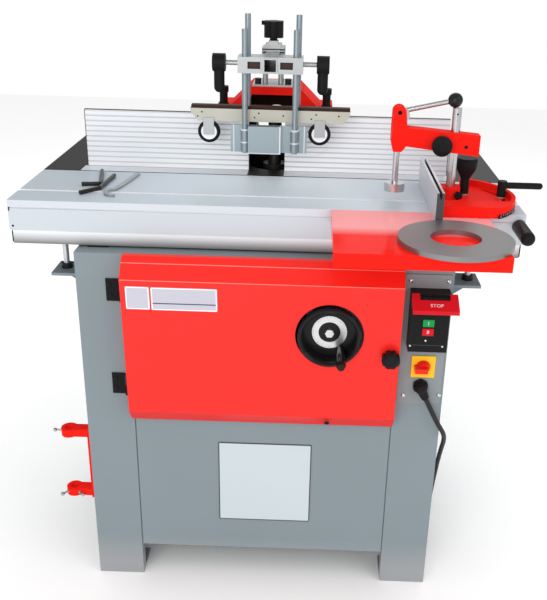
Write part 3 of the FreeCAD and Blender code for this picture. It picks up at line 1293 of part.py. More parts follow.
def clamp_arm():
    # sloping arm with a forked head for the cam, a nose for the clamp rod and a slit at the column
    head_right = "arm_left + arm_head_width"
    nose_left, nose_right = about("cam_x", "arm_nose_half")
    outline = [
        ("arm_left", "arm_left_low + arm_nose_half"), (nose_left, "arm_nose_low"),
        (nose_right, "arm_nose_low"),
        (head_right, "arm_left_low"), ("arm_right", "arm_right_low"), ("arm_right", "arm_right_top"),
        (head_right, "arm_left_top"), ("cam_x + cam_lug", "cam_z"), ("cam_x - cam_lug", "cam_z"),
        ("arm_left", "arm_left_top"),
    ]
    thick = about("pivot_y", "arm_half")
    lug = rod("cam_lug", "y", ("cam_x", "cam_z"), thick)
    fork = box(("arm_left - 2 * overrun", f"{head_right} + overrun"), about("pivot_y", "cam_half + cam_gap"),
               ("cam_z - cam_radius - cam_offset - overrun", "cam_z + cam_radius + overrun"))
    holes = [
        fork,
        rod("rod_radius + run_gap", "z", ("cam_x", "pivot_y"), ("arm_nose_low - overrun", "cam_z")),
        rod("column_thick + run_gap", "z", ("pivot_x", "pivot_y"),
            ("arm_right_low - 2 * overrun", "arm_left_top + overrun")),
        rod("arm_knob_stud + run_gap", "y", ("arm_knob_x", "arm_knob_z"),
            ("pivot_y - arm_half - overrun", "pivot_y")),
        box(("arm_knob_x - arm_knob_radius", "pivot_x"), about("pivot_y", "arm_slit / 2"),
            ("arm_right_low - 2 * overrun", "arm_left_top + overrun")),
        rod("cam_pin + run_gap", "y", ("cam_x", "cam_z"),
            ("pivot_y - arm_half - overrun", "pivot_y + arm_half + overrun")),
    ]
    return piece("clamp_arm", cut(fused(prism("XZ_Plane", outline, thick), lug), *holes))


def cam_lever():
    # eccentric disc on its pin, with a rod and a ball at the end
    place = ("cam_x", "cam_z")
    disc = rod("cam_radius", "y",
               ("cam_x + cam_offset * cos(cam_rest_angle)", "cam_z - cam_offset * sin(cam_rest_angle)"),
               about("pivot_y", "cam_half"))
    pin = rod("cam_pin", "y", place, about("pivot_y", "arm_half"))
    arm = doc.addObject("Part::Cylinder", "Lever")
    arm.setExpression("Radius", bound("cam_lever"))
    arm.setExpression("Height", bound("cam_lever_length"))
    arm.setExpression("Placement.Rotation.Angle", bound("90 - cam_lever_angle"))
    arm.setExpression("Placement.Rotation.Axis.y", "1")
    arm.setExpression("Placement.Rotation.Axis.z", "0")
    moved(arm, "cam_x", "pivot_y", "cam_z")
    end = ball("cam_ball", "cam_x + cam_lever_length * cos(cam_lever_angle)", "pivot_y",
               "cam_z + cam_lever_length * sin(cam_lever_angle)")
    return piece("cam_lever", fused(disc, pin, trimmed_lever(arm), end))


def trimmed_lever(arm):
    # the lever's root is narrowed to the fork of the arm's head
    fork = box(("cam_x", "cam_x + cam_radius"), about("pivot_y", "cam_half"),
               about("cam_z", "cam_radius + cam_radius"))
    rest = box(("cam_x + cam_radius", "cam_x + 2 * cam_lever_length"), about("pivot_y", "cam_radius"),
               about("cam_z", "cam_lever_length"))
    return common(arm, fused(fork, rest))


def clamp_rod():
    top = "cam_z - cam_offset * sin(cam_rest_angle) - cam_radius - rod_gap"
    return piece("clamp_rod", fused(
        rod("rod_radius", "z", ("cam_x", "pivot_y"), ("pad_bottom", top)),
        rod("pad_radius", "z", ("cam_x", "pivot_y"), ("pad_bottom", "pad_bottom + pad_thick")),
    ))


def arm_knob():
    face = "pivot_y - arm_half - arm_knob_clear"
    place = ("arm_knob_x", "arm_knob_z")
    outline = [
        ("0", "0"), ("arm_knob_radius / 2", "0"), ("arm_knob_radius", "arm_knob_depth / 3"),
        ("arm_knob_radius", "arm_knob_depth * 3 / 4"), ("arm_knob_radius / 2", "arm_knob_depth"),
        ("arm_knob_stud", "arm_knob_depth"), ("arm_knob_stud", "arm_knob_depth + arm_knob_stud_length / 2"),
        ("0", "arm_knob_depth + arm_knob_stud_length / 2"),
    ]
    return piece("arm_knob", turned("y", place, outline, f"{face} - arm_knob_depth"))


def fence_plate(name, side, inner):
    # ribbed plate with a forked tab behind it, held under the hood's flange
    count = sizes["fence_ribs"]
    step = f"fence_height / {count}"
    outline = [("fence_back", "fence_top"), ("fence_back", "fence_low")]
    for index in range(count):
        low = f"fence_low + {index} * {step}"
        outline += [
            ("fence_face", low), ("fence_face", f"{low} + rib_share * {step}"),
            ("fence_face + rib_depth", f"{low} + rib_share * {step}"),
            ("fence_face + rib_depth", f"{low} + {step}"),
        ]
    reach = span(inner, f"{inner} + fence_length", side)
    tab_z = ("flange_low - seat_gap - tab_height", "flange_low - seat_gap")
    tab = box(span("tab_inner", "tab_inner + tab_width", side), ("fence_back", "fence_back + tab_depth"),
              tab_z)
    slot = box(span("tab_inner - overrun", "tab_slot_end", side),
               about("hood_front + fence_lever_back", "tab_slot / 2"), ("fence_low", "hood_top"))
    return piece(name, fused(prism("YZ_Plane", outline, reach), cut(tab, slot)))


def fence_hood():
    # open-fronted hood with sloping shoulders, two flanges and a round port at the back
    def half_outline(side):
        return [
            (f"{side} * hood_half", "fence_low"), (f"{side} * hood_half", "flange_low"),
            (f"{side} * hood_flange", "flange_low"), (f"{side} * hood_flange", "flange_top"),
            (f"{side} * hood_shoulder", "flange_top"), (f"{side} * hood_top_half", "hood_top"),
        ]
    outline = half_outline(1) + half_outline(-1)[::-1]
    shell = prism("XZ_Plane", outline, ("hood_front", "hood_back"))
    inner = [
        ("hood_half - hood_wall", "fence_low - overrun"), ("hood_half - hood_wall", "flange_low"),
        ("hood_top_half - hood_wall", "hood_top - hood_wall"),
        ("hood_wall - hood_top_half", "hood_top - hood_wall"),
        ("hood_wall - hood_half", "flange_low"), ("hood_wall - hood_half", "fence_low - overrun"),
    ]
    hollow = prism("XZ_Plane", inner, ("hood_front - overrun", "hood_back - hood_wall"))
    port = rod("port_radius", "y", ("0", "fence_low + port_height"),
               ("hood_back - hood_wall", "hood_back + port_length"))
    bore = rod("port_radius - port_wall", "y", ("0", "fence_low + port_height"),
               ("hood_back - hood_wall - overrun", "hood_back + port_length + overrun"))
    studs = [
        rod("fence_lever_stud + run_gap", "z", (f"{side} * fence_lever_x", "hood_front + fence_lever_back"),
            ("flange_low - overrun", "flange_top + overrun"))
        for side in (-1, 1)
    ]
    return piece("fence_hood", cut(fused(cut(shell, hollow), port), bore, *studs))


def fence_lever(name, side):
    # upright clamp handle on the hood's flange, its stud in the fork of the fence plate
    place = (f"{side} * fence_lever_x", "hood_front + fence_lever_back")
    low = "flange_top + seat_gap"
    outline = [
        ("0", "-fence_lever_stud_length"), ("fence_lever_stud", "-fence_lever_stud_length"),
        ("fence_lever_stud", "0"),
        ("fence_lever_washer", "0"), ("fence_lever_washer", "flange_thick"),
        ("fence_lever_radius", "flange_thick"),
        ("fence_lever_radius", "fence_lever_height - fence_lever_grip / 2"),
        ("fence_lever_cap", "fence_lever_height - fence_lever_grip / 2"),
        ("fence_lever_cap", "fence_lever_height"), ("0", "fence_lever_height"),
    ]
    return piece(name, turned("z", place, outline, low))


def guard_carrier():
    # plate and two posts on the hood, carrying the sleeve that the guard tube slides in
    wide = about("guard_x", "carrier_left")
    deep = ("sleeve_front_y", "sleeve_front_y + carrier_depth")
    plate_top = "hood_top + carrier_plate"
    parts = [
        box(wide, deep, ("hood_top", plate_top)),
        box(about("guard_x", "sleeve_half"), ("sleeve_front_y", "sleeve_front_y + sleeve_depth"),
            ("sleeve_low", "sleeve_top")),
        box(about("guard_x", "cap_half"), ("sleeve_front_y", "sleeve_front_y + sleeve_depth * 3 / 4"),
            ("sleeve_top", "sleeve_top + cap_step")),
        box(about("guard_x", "cap_half - cap_step"), ("sleeve_front_y", "sleeve_front_y + sleeve_depth / 2"),
            ("sleeve_top", "sleeve_top + 2 * cap_step")),
    ]
    for side in (-1, 1):
        parts.append(rod("carrier_post", "z",
                         (f"guard_x + {side} * carrier_spread", "sleeve_front_y + 2 * carrier_post"),
                         (plate_top, "sleeve_low")))
        parts.append(rod("carrier_bolt", "z",
                         (f"guard_x + {side} * carrier_bolt_spread", "sleeve_front_y + 2 * carrier_bolt"),
                         (plate_top, f"{plate_top} + carrier_bolt_height")))
    hollow = box(about("guard_x", "tube_half + tube_gap"),
                 ("sleeve_front_y - overrun", "sleeve_front_y + sleeve_depth + overrun"),
                 about("tube_z", "tube_half + tube_gap"))
    screw = rod("top_knob_stud + run_gap", "z", ("guard_x", "sleeve_front_y + sleeve_depth / 4"),
                ("tube_z", "sleeve_top + 2 * cap_step + overrun"))
    return piece("guard_carrier", cut(fused(*parts), hollow, screw))


def guard_tube():
    # square tube with a slotted cross bar at its front end for the guard's rods
    reach = ("tube_front_y", "tube_front_y + tube_length")
    tube_body = box(about("guard_x", "tube_half"), reach, about("tube_z", "tube_half"))
    bore = box(about("guard_x", "tube_half - tube_wall"),
               ("tube_front_y - overrun", "tube_front_y + tube_length + overrun"),
               about("tube_z", "tube_half - tube_wall"))
    bar = box(about("guard_x", "bar_half"), ("bar_front", "bar_back"), about("tube_z", "bar_height / 2"))
    holes = [bore]
    for side in (-1, 1):
        holes.append(rod("guard_rod + guard_rod_gap", "z", (f"guard_x + {side} * rod_spread", "shoe_rod_y"),
                         ("tube_z - bar_height", "tube_z + bar_height")))
        holes.append(rod("guard_rod + guard_rod_gap", "z",
                         (f"guard_x + board_rod_shift + {side} * rod_spread", "board_rod_y"),
                         ("tube_z - bar_height", "tube_z + bar_height")))
        holes.append(box(beside("guard_x", "bar_slot_inner", "bar_slot_inner + bar_slot", side),
                         ("bar_front - overrun", "bar_front + bar_slot_depth"),
                         about("tube_z", "bar_slot_height / 2")))
        holes.append(rod("side_stud + run_gap", "x", ("board_rod_y - guard_rod", "tube_z"),
                         beside("guard_x", "bar_half - side_stud_seat", "bar_half + overrun", side)))
    return piece("guard_tube", cut(fused(tube_body, bar), *holes))


def guard_top_knob():
    # fluted knob with a small lever, on a screw down to the guard tube
    place = ("guard_x", "sleeve_front_y + sleeve_depth / 4")
    low = "top_knob_low"
    high = "top_knob_low + top_knob_height"
    neck_low = "sleeve_top + 2 * cap_step + seat_gap"
    head = rod("top_knob", "z", place, (low, high))
    flutes = [
        rod("knob_lobe * 2", "z",
            (f"{place[0]} + (top_knob + knob_lobe) * cos({angle})",
             f"{place[1]} + (top_knob + knob_lobe) * sin({angle})"),
            (f"{low} - overrun", f"{high} + overrun"))
        for angle in range(0, 360, 60)
    ]
    lever = rod("top_knob_lever_radius", "x", (place[1], f"{high} - top_knob_lever_radius"),
                (f"{place[0]} - top_knob_lever", place[0]))
    neck = rod("top_knob_neck", "z", place, (neck_low, low))
    stud = rod("top_knob_stud", "z", place, ("tube_z + tube_half + tube_gap + run_gap", neck_low))
    return piece("guard_top_knob", fused(cut(head, *flutes), lever, neck, stud))


def guard_knob(name, side):
    # stud in the end of the cross bar with a hub and a handle that hangs down
    hub_in = "bar_half + side_stud_length"
    place_y = "board_rod_y - guard_rod"
    mid = f"guard_x + {side} * ({hub_in} + side_hub_length / 2)"
    stud_reach = beside("guard_x", "bar_half - side_stud_seat + seat_gap", f"{hub_in} + side_hub_length / 2",
                        side)
    return piece(name, fused(
        rod("side_stud", "x", (place_y, "tube_z"), stud_reach),
        rod("side_hub", "x", (place_y, "tube_z"),
            beside("guard_x", hub_in, f"{hub_in} + side_hub_length", side)),
        rod("side_grip", "z", (mid, place_y), ("tube_z - side_grip_length", "tube_z")),
        ball("side_grip", mid, place_y, "tube_z - side_grip_length"),
    ))


def pressure_shoe():
    # two rods with clips and a bent sheet that presses the work
    reach = ("shoe_low", "shoe_low + shoe_height")
    wing_back = "shoe_rod_y + guard_rod + shoe_sheet / 2"
    wing = box(about("guard_x - shoe_sheet", "shoe_wing"), (f"{wing_back} - shoe_sheet", wing_back), reach)
    front = f"{wing_back} - shoe_sheet - shoe_box"
    centre = "guard_x - shoe_shift"
    hat = cut(
        box(about(centre, "shoe_half"), (front, f"{wing_back} - shoe_sheet"), reach),
        box(about(centre, "shoe_half - shoe_sheet"), (f"{front} + shoe_sheet", wing_back),
            ("shoe_low - overrun", "shoe_low + shoe_height + overrun")),
    )
    rods = []
    for side in (-1, 1):
        place = (f"guard_x + {side} * rod_spread", "shoe_rod_y")
        rods.append(rod("guard_rod", "z", place, ("shoe_low", "shoe_rod_top")))
        rods.append(rod("shoe_clip", "z", place, ("shoe_low + shoe_sheet", "shoe_low + shoe_clip_height")))
    return piece("pressure_shoe", fused(wing, hat, *rods))


def board_rods():
    return pieces("board_rods", *[
        rod("guard_rod", "z", (f"guard_x + board_rod_shift + {side} * rod_spread", "board_rod_y"),
            ("board_low", "board_rod_top"))
        for side in (-1, 1)
    ])


def guard_board():
    # board with bevelled ends and two wheel forks under it
    top = "board_low + board_height"
    outline = [
        ("guard_x - board_half + board_bevel", "board_low"),
        ("guard_x + board_half - board_bevel", "board_low"),
        ("guard_x + board_half", f"{top} - board_bevel / 2"), ("guard_x + board_half", top),
        ("guard_x - board_half", top), ("guard_x - board_half", f"{top} - board_bevel / 2"),
    ]
    parts = [prism("XZ_Plane", outline, ("board_front", "board_front + board_thick"))]
    cheek = "caster_width / 2 + fork_gap"
    for place in ("-caster_left", "caster_right"):
        for end in (-1, 1):
            parts.append(box(about(place, "fork_half"),
                             beside("caster_y", cheek, f"{cheek} + fork_sheet", end),
                             ("caster_z - fork_half / 2", "board_low + board_height / 4")))
    space = [
        rod("caster_radius + fork_gap", "y", (place, "caster_z"), about("caster_y", cheek))
        for place in ("-caster_left", "caster_right")
    ]
    pins = [
        rod("caster_pin", "y", (place, "caster_z"), about("caster_y", f"({cheek} + fork_sheet)"))
        for place in ("-caster_left", "caster_right")
    ]
    return piece("guard_board", fused(cut(fused(*parts), *space), *pins))


def caster(name, place):
    # wheel with a rounded tread on the fork's pin
    half = "caster_width / 2"
    outline = [
        ("caster_pin + run_gap", f"-{half}"), ("caster_radius - fork_sheet", f"-{half}"),
        ("caster_radius", f"-{half} + fork_sheet"), ("caster_radius", f"{half} - fork_sheet"),
        ("caster_radius - fork_sheet", half), ("caster_pin + run_gap", half),
    ]
    return piece(name, turned("y", (place, "caster_z"), outline, "caster_y"))


side_panel("left_side_panel", -1)
side_panel("right_side_panel", 1)
lower_panel()
rear_panel()
table_frame()
main_table()
slide_rail()
rail_brackets()
sliding_table()
extension_plate()
insert_ring()
push_handle()
red_door()
hinge_leaves()
door_knob()
handwheel()
handwheel_grip()
height_shaft()
leadscrew()
height_guide()
carriage()
motor()
drive_belt()
spindle()
motor_pulley()
control_plate()
switch_box()
button("start_button", "start_height")
button("stop_button", "stop_height")
stop_flap()
main_switch_knob()
cable_gland()
ring_bracket()
power_cord()
cord_coil()
mains_plug()
mitre_base()
mitre_fence()
clamping_lever("swivel_lever", lever_place(), "lever_height", "x", "lever_stud_length")
clamping_lever("gauge_lever", ("gauge_lever_x", "pivot_y + gauge_lever_back"), "gauge_lever_height", "y",
               "gauge_lever_stud")
clamp_column()
clamp_arm()
cam_lever()
clamp_rod()
arm_knob()
fence_plate("fence_plate_left", -1, "fence_gap_left")
fence_plate("fence_plate_right", 1, "fence_gap_right")
fence_hood()
fence_lever("fence_lever_left", -1)
fence_lever("fence_lever_right", 1)
guard_carrier()
guard_tube()
guard_top_knob()
guard_knob("guard_knob_left", -1)
guard_knob("guard_knob_right", 1)
pressure_shoe()
board_rods()
guard_board()
caster("wheel_left", "-caster_left")
caster("wheel_right", "caster_right")

doc.recompute()
for item in doc.Objects:
    if "Invalid" in item.State or "Error" in item.State:
        raise RuntimeError(f"{item.Label} failed: {item.State}")
for item in nodes:
    if item.Shape.isNull() or not item.Shape.isValid():
        raise RuntimeError(f"{item.Label} has no valid shape")
os.makedirs("parts", exist_ok=True)
for item in nodes:
    print(f"{item.Label}: {len(item.Shape.Solids)} solid(s), {item.Shape.Volume / 1000:.1f} cm3")
    item.Shape.exportStep(f"parts/{item.Label}.step")
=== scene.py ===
import math

import bmesh
import bpy
import numpy as np
from mathutils import Matrix, Vector


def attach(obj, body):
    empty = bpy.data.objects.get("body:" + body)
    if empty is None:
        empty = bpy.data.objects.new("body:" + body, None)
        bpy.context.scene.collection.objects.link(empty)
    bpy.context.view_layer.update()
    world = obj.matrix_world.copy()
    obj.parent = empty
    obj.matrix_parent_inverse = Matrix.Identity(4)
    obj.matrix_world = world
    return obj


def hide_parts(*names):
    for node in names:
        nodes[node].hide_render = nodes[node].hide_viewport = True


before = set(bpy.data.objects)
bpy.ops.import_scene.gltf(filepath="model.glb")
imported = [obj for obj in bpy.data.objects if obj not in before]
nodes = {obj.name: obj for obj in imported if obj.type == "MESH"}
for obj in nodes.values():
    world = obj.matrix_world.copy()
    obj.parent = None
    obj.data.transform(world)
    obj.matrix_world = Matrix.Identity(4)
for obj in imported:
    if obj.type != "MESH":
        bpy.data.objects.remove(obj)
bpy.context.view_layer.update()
print("frame loaded:", len(nodes), "nodes")


class Wire:
    # a socket that takes part in sums, so that 1 - mask adds its own Math node
    def __init__(self, tree, socket):
        self.tree = tree
        self.socket = socket

    def math(self, operation, first, second):
        return Finish.add(self.tree, "ShaderNodeMath", {"operation": operation}, {0: first, 1: second})

    def __add__(self, other):
        return self.math("ADD", self, other)

    def __radd__(self, other):
        return self.math("ADD", other, self)

    def __sub__(self, other):
        return self.math("SUBTRACT", self, other)

    def __rsub__(self, other):
        return self.math("SUBTRACT", other, self)

    def __mul__(self, other):
        return self.math("MULTIPLY", self, other)

    def __rmul__(self, other):
        return self.math("MULTIPLY", other, self)

    def __gt__(self, other):
        return self.math("GREATER_THAN", self, other)

    def __lt__(self, other):
        return self.math("LESS_THAN", self, other)


class Finish:
    # one material: its shader's constants go on the sockets, what varies is linked
    def __init__(self, name, colour, roughness, metallic=0.0, coat=0.0, specular=0.26):
        self.material = bpy.data.materials.new(name)
        self.material.use_nodes = True
        self.tree = self.material.node_tree
        self.tree.nodes.clear()
        self.shader = self.tree.nodes.new("ShaderNodeBsdfPrincipled")
        output = self.tree.nodes.new("ShaderNodeOutputMaterial")
        self.tree.links.new(self.shader.outputs[0], output.inputs[0])
        self.material.diffuse_color = (*colour, 1)
        self.set("Base Color", (*colour, 1))
        self.set("Roughness", roughness)
        self.set("Metallic", metallic)
        self.set("Coat Weight", coat)
        self.set("Specular IOR Level", specular)

    def set(self, socket, value):
        target = self.shader.inputs[socket]
        if isinstance(value, Wire):
            self.tree.links.new(value.socket, target)
        else:
            target.default_value = value

    @staticmethod
    def add(tree, kind, settings, inputs, out=0):
        node = tree.nodes.new(kind)
        for key, value in settings.items():
            setattr(node, key, value)
        for key, value in inputs.items():
            if isinstance(value, Wire):
                tree.links.new(value.socket, node.inputs[key])
            else:
                node.inputs[key].default_value = value
        return Wire(tree, node.outputs[out])

    def node(self, kind, settings=None, inputs=None, out=0):
        return Finish.add(self.tree, kind, settings or {}, inputs or {}, out)

    def place(self):
        # the surface's own coordinates, in metres
        return self.node("ShaderNodeTexCoord", out="Object")

    def axis(self, letter):
        return self.node("ShaderNodeSeparateXYZ", {}, {0: self.place()}, letter)

    def colour(self):
        # what is linked to the base colour so far
        return Wire(self.tree, self.shader.inputs["Base Color"].links[0].from_socket)

    def noise(self, scale, stretch=(1, 1, 1), detail=3.0):
        mapped = self.node("ShaderNodeMapping", {}, {"Vector": self.place(), "Scale": stretch})
        inputs = {"Vector": mapped, "Scale": scale, "Detail": detail}
        return self.node("ShaderNodeTexNoise", {}, inputs, "Fac")

    def mixed(self, mask, first, second):
        inputs = {0: mask, 6: first if isinstance(first, Wire) else (*first, 1), 7: (*second, 1)}
        return self.node("ShaderNodeMix", {"data_type": "RGBA"}, inputs, 2)

    def bump(self, height, strength, distance):
        inputs = {"Height": height, "Strength": strength, "Distance": distance}
        self.set("Normal", self.node("ShaderNodeBump", {}, inputs))

    def absolute(self, value):
        return self.node("ShaderNodeMath", {"operation": "ABSOLUTE"}, {0: value})

    def rising(self, value, start, end, low=0.0, high=1.0):
        # goes from low to high while the value goes from start to end
        inputs = {"Value": value, "From Min": start, "From Max": end, "To Min": low, "To Max": high}
        return self.node("ShaderNodeMapRange", {}, inputs)

    def between(self, letter, low, high):
        place = self.axis(letter)
        return (place > low) * (place < high)

    def spans(self, letter, *ranges):
        # one inside any of several ranges along an axis
        first, *rest = [self.between(letter, *limits) for limits in ranges]
        return sum(rest, first)

    def apart(self, letter, centre):
        # squared distance from a place along one axis
        offset = self.axis(letter) - centre
        return offset * offset


def placed(name, data):
    item = bpy.data.objects.new(name, data)
    bpy.context.scene.collection.objects.link(item)
    return item


photoView = {
    "size": (547, 600), "focal": 832.8, "centre": (298.7, 300.0),
    "yaw": -0.7, "pitch": 23.04, "roll": 1.52, "place": (0.087, -1.789, 1.334),
}


def addCamera():
    # the photo's own camera: focal length and centre in pixels become lens and shift
    width, height = photoView["size"]
    yaw, pitch, roll = (math.radians(photoView[key]) for key in ("yaw", "pitch", "roll"))
    ahead = Vector((math.sin(yaw) * math.cos(pitch), math.cos(yaw) * math.cos(pitch), -math.sin(pitch)))
    side = Vector((math.cos(yaw), -math.sin(yaw), 0))
    above = side.cross(ahead)
    right = side * math.cos(roll) + above * math.sin(roll)
    up = above * math.cos(roll) - side * math.sin(roll)
    data = bpy.data.cameras.new("camera")
    data.sensor_fit = "VERTICAL"
    data.sensor_height = 24
    data.lens = photoView["focal"] * data.sensor_height / height
    data.shift_x = -(photoView["centre"][0] - width / 2) / height
    data.shift_y = (photoView["centre"][1] - height / 2) / height
    data.clip_end = 50
    camera = placed("camera", data)
    turn = Matrix((right, up, -ahead)).transposed().to_4x4()
    camera.matrix_world = Matrix.Translation(photoView["place"]) @ turn
    bpy.context.scene.camera = camera


# the route's points are in millimetres
lead = {
    "glandCentre": (0.322, -0.297, 0.512), "lean": (0.44, 0, -0.898), "tail": 0.024,
    "points": [
        (349, -297, 457), (365, -296, 427), (380, -285, 400), (387, -260, 369), (389, -228, 328),
        (390, -197, 275), (391, -165, 206), (392, -133, 128), (393, -104, 62), (394, -76, 25), (395, -34, 8),
        (396, 20, 5), (395, 90, 5), (390, 165, 5), (393, 240, 5), (398, 300, 5), (392, 352, 5), (368, 390, 5),
    ],
    "radius": 0.005, "coilRadius": 0.060, "coilPitch": 0.0108, "coilTurns": 2.25, "coilTail": 0.058,
    "pointsPerTurn": 16,
}


def coilPoints():
    # spiral in on the floor, one layer up at the middle, spiral out on top
    before, last = (np.array(place) / 1000 for place in lead["points"][-2:])
    ahead = (last - before) / np.linalg.norm(last - before)
    angle = math.atan2(-ahead[0], ahead[1])
    centre = last - lead["coilRadius"] * np.array((math.cos(angle), math.sin(angle), 0))
    half = lead["coilTurns"] / 2
    turn = np.linspace(0, lead["coilTurns"], int(lead["coilTurns"] * lead["pointsPerTurn"]) + 1)
    radius = lead["coilRadius"] - lead["coilPitch"] * (half - np.abs(turn - half))
    climb = np.clip((turn - half) * 2 + 0.5, 0, 1)
    height = lead["coilPitch"] * climb * climb * (3 - 2 * climb)
    heading = angle + 2 * math.pi * turn
    return centre + np.stack([radius * np.cos(heading), radius * np.sin(heading), height], axis=1)


def addLead():
    start = Vector(lead["glandCentre"]) + Vector(lead["lean"]).normalized() * lead["tail"]
    wound = coilPoints()
    tangent = (wound[-1] - wound[-2]) / np.linalg.norm(wound[-1] - wound[-2])
    route = [start] + [Vector(place) / 1000 for place in lead["points"]]
    route += [Vector(place) for place in wound[1:]]
    route += [Vector(wound[-1] + tangent * lead["coilTail"] * share) for share in (0.5, 1)]
    data = bpy.data.curves.new("mainsLead", "CURVE")
    data.dimensions = "3D"
    data.bevel_depth = 1
    data.bevel_resolution = 4
    data.resolution_u = 6
    data.use_fill_caps = True
    spline = data.splines.new("NURBS")
    spline.points.add(len(route) - 1)
    for item, place in zip(spline.points, route):
        item.co = (*place, 1)
        item.radius = lead["radius"]
    spline.order_u = 3
    spline.use_endpoint_u = True
    cable = placed("mainsLead", data)
    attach(cable, "cabinet")
    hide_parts("power_cord", "cord_coil")
    data.materials.append(Finish("leadSheath", (0.018, 0.018, 0.019), roughness=0.5).material)


addCamera()
addLead()
print("camera and mains lead placed")

tones = {
    "grey": (0.205, 0.252, 0.272), "red": (0.86, 0.016, 0.010), "black": (0.012, 0.012, 0.013),
    "yellow": (0.90, 0.50, 0.008), "green": (0.012, 0.30, 0.07), "silver": (0.66, 0.67, 0.68),
    "alloy": (0.70, 0.72, 0.75), "iron": (0.022, 0.018, 0.019), "zinc": (0.46, 0.48, 0.485),
    "blueZinc": (0.325, 0.395, 0.43), "plate": (0.235, 0.265, 0.275), "paper": (0.82, 0.83, 0.85),
    "laminate": (0.53, 0.52, 0.45), "umber": (0.055, 0.026, 0.020), "slate": (0.065, 0.075, 0.120),
    "labelTint": (0.50, 0.495, 0.565), "plateTint": (0.515, 0.585, 0.615), "darkSteel": (0.055, 0.052, 0.050),
    "fence": (0.80, 0.82, 0.85), "shade": (0.07, 0.075, 0.08), "stopRed": (0.62, 0.012, 0.022),
    "sliderTop": (0.53, 0.59, 0.65), "sliderWall": (0.53, 0.57, 0.61), "sliderLip": (0.58, 0.61, 0.66),
    "railLowShade": (0.17, 0.17, 0.165), "rail": (0.80, 0.82, 0.85), "glint": (0.95, 0.20, 0.17),
    "redShade": (0.70, 0.011, 0.008), "mirrored": (0.86, 0.335, 0.34), "sliderBright": (0.84, 0.92, 0.98),
    "fenceBright": (0.95, 0.96, 0.97), "paleNearFloor": (0.34, 0.33, 0.34), "ringGrey": (0.29, 0.288, 0.292),
    "ribShade": (0.60, 0.62, 0.65), "shoeGlint": (0.66, 0.73, 0.75),
}

# how hair lines are stretched
grains = {
    "alongX": (0.5, 60, 60), "alongY": (60, 0.5, 60), "upright": (40, 40, 1), "rod": (40, 40, 2),
    "lever": (2, 40, 40), "tube": (40, 1, 40), "ground": (1, 30, 30), "topStrip": (0.4, 30, 30), "even": (9, 9, 9),
}
guardMiddle = -0.004


def paintUneven(finish, tone, mask, dark):
    shade = tuple(part * dark for part in tones[tone])
    finish.set("Base Color", finish.mixed(mask, shade, tones[tone]))


def wear(finish, roughness, mask, swing):
    finish.set("Roughness", roughness - swing / 2 + swing * mask)


def sheetPaint(name, tone, roughness, coat=0.0, specular=0.26):
    # stove-enamelled sheet: a slight unevenness of tone and a fine orange peel
    paint = Finish(name, tones[tone], roughness, coat=coat, specular=specular)
    paintUneven(paint, tone, paint.noise(scale=5), dark=0.93)
    wear(paint, roughness, paint.noise(scale=14), swing=0.08)
    paint.bump(paint.noise(scale=700), strength=0.12, distance=0.0004)
    return paint


def castPaint(name, tone, roughness):
    # paint over a casting: the same colour with a coarser, softer skin
    paint = Finish(name, tones[tone], roughness, specular=0.01)
    paintUneven(paint, tone, paint.noise(scale=12), dark=0.88)
    paint.bump(paint.noise(scale=240), strength=0.25, distance=0.0006)
    return paint


def drawnMetal(name, tone, roughness, metallic, grain):
    # extruded or ground metal: hair lines along one direction
    metal = Finish(name, tones[tone], roughness, metallic=metallic)
    hair = metal.noise(scale=260, stretch=grains[grain], detail=5.0)
    paintUneven(metal, tone, hair, dark=0.90)
    wear(metal, roughness, hair, swing=0.12)
    metal.bump(hair, strength=0.06, distance=0.0003)
    return metal


def ringSteel():
    # faced on a lathe: fine rings round the loose ring's centre
    centreX, centreY, roughness = 0.338, -0.424, 0.42
    metal = Finish("turnedRing", tones["ringGrey"], roughness, metallic=0.85)
    squares = metal.apart("X", centreX) + metal.apart("Y", centreY)
    radius = metal.node("ShaderNodeMath", {"operation": "SQRT"}, {0: squares})
    inputs = {"W": radius, "Scale": 900, "Detail": 4}
    rings = metal.node("ShaderNodeTexNoise", {"noise_dimensions": "1D"}, inputs, "Fac")
    paintUneven(metal, "ringGrey", rings, dark=0.80)
    wear(metal, roughness, rings, swing=0.16)
    metal.bump(rings, strength=0.15, distance=0.0003)
    return metal


def plastic(name, tone, roughness, coat=0.0):
    moulded = Finish(name, tones[tone], roughness, coat=coat, specular=0.08)
    paintUneven(moulded, tone, moulded.noise(scale=30), dark=0.85)
    wear(moulded, roughness, moulded.noise(scale=60), swing=0.1)
    moulded.bump(moulded.noise(scale=900), strength=0.08, distance=0.0002)
    return moulded


def either(first, *rest):
    # one where any of the masks is
    return sum(rest, first) > 0.5


def recolour(finish, mask, tone, metallic=None):
    # paints the masked part of a finish in another tone
    finish.set("Base Color", finish.mixed(mask, finish.colour(), tones[tone]))
    if metallic is not None:
        was = finish.shader.inputs["Metallic"].default_value
        finish.set("Metallic", was + mask * (metallic - was))
    return finish


def dress(finish, *names):
    for name in names:
        slots = nodes[name].data.materials
        slots.clear()
        slots.append(finish.material)


def doorPaint():
    # painted highlights along the two upper folds, painted shade on the downward-facing foot, black hinge barrels
    # on the left edge
    folds, foot, barrels = ((0.7422, 0.7436), (0.7693, 0.7705)), 0.4465, -0.2735
    paint = sheetPaint("doorPaint", "red", roughness=0.34, coat=0.1)
    recolour(paint, paint.spans("Z", *folds), "glint")
    recolour(paint, paint.axis("Z") < foot, "redShade")
    return recolour(paint, paint.axis("X") < barrels, "black")


def trayRed():
    # glossy tray with a painted reflection of the pale fence, a soft sheen on its rear half
    plain, sheen, top = -0.40, -0.355, 0.8690
    paint = sheetPaint("trayRed", "red", roughness=0.10, specular=0.015)
    mask = paint.rising(paint.axis("Y"), plain, sheen) * (paint.axis("Z") > top)
    return recolour(paint, mask, "mirrored")


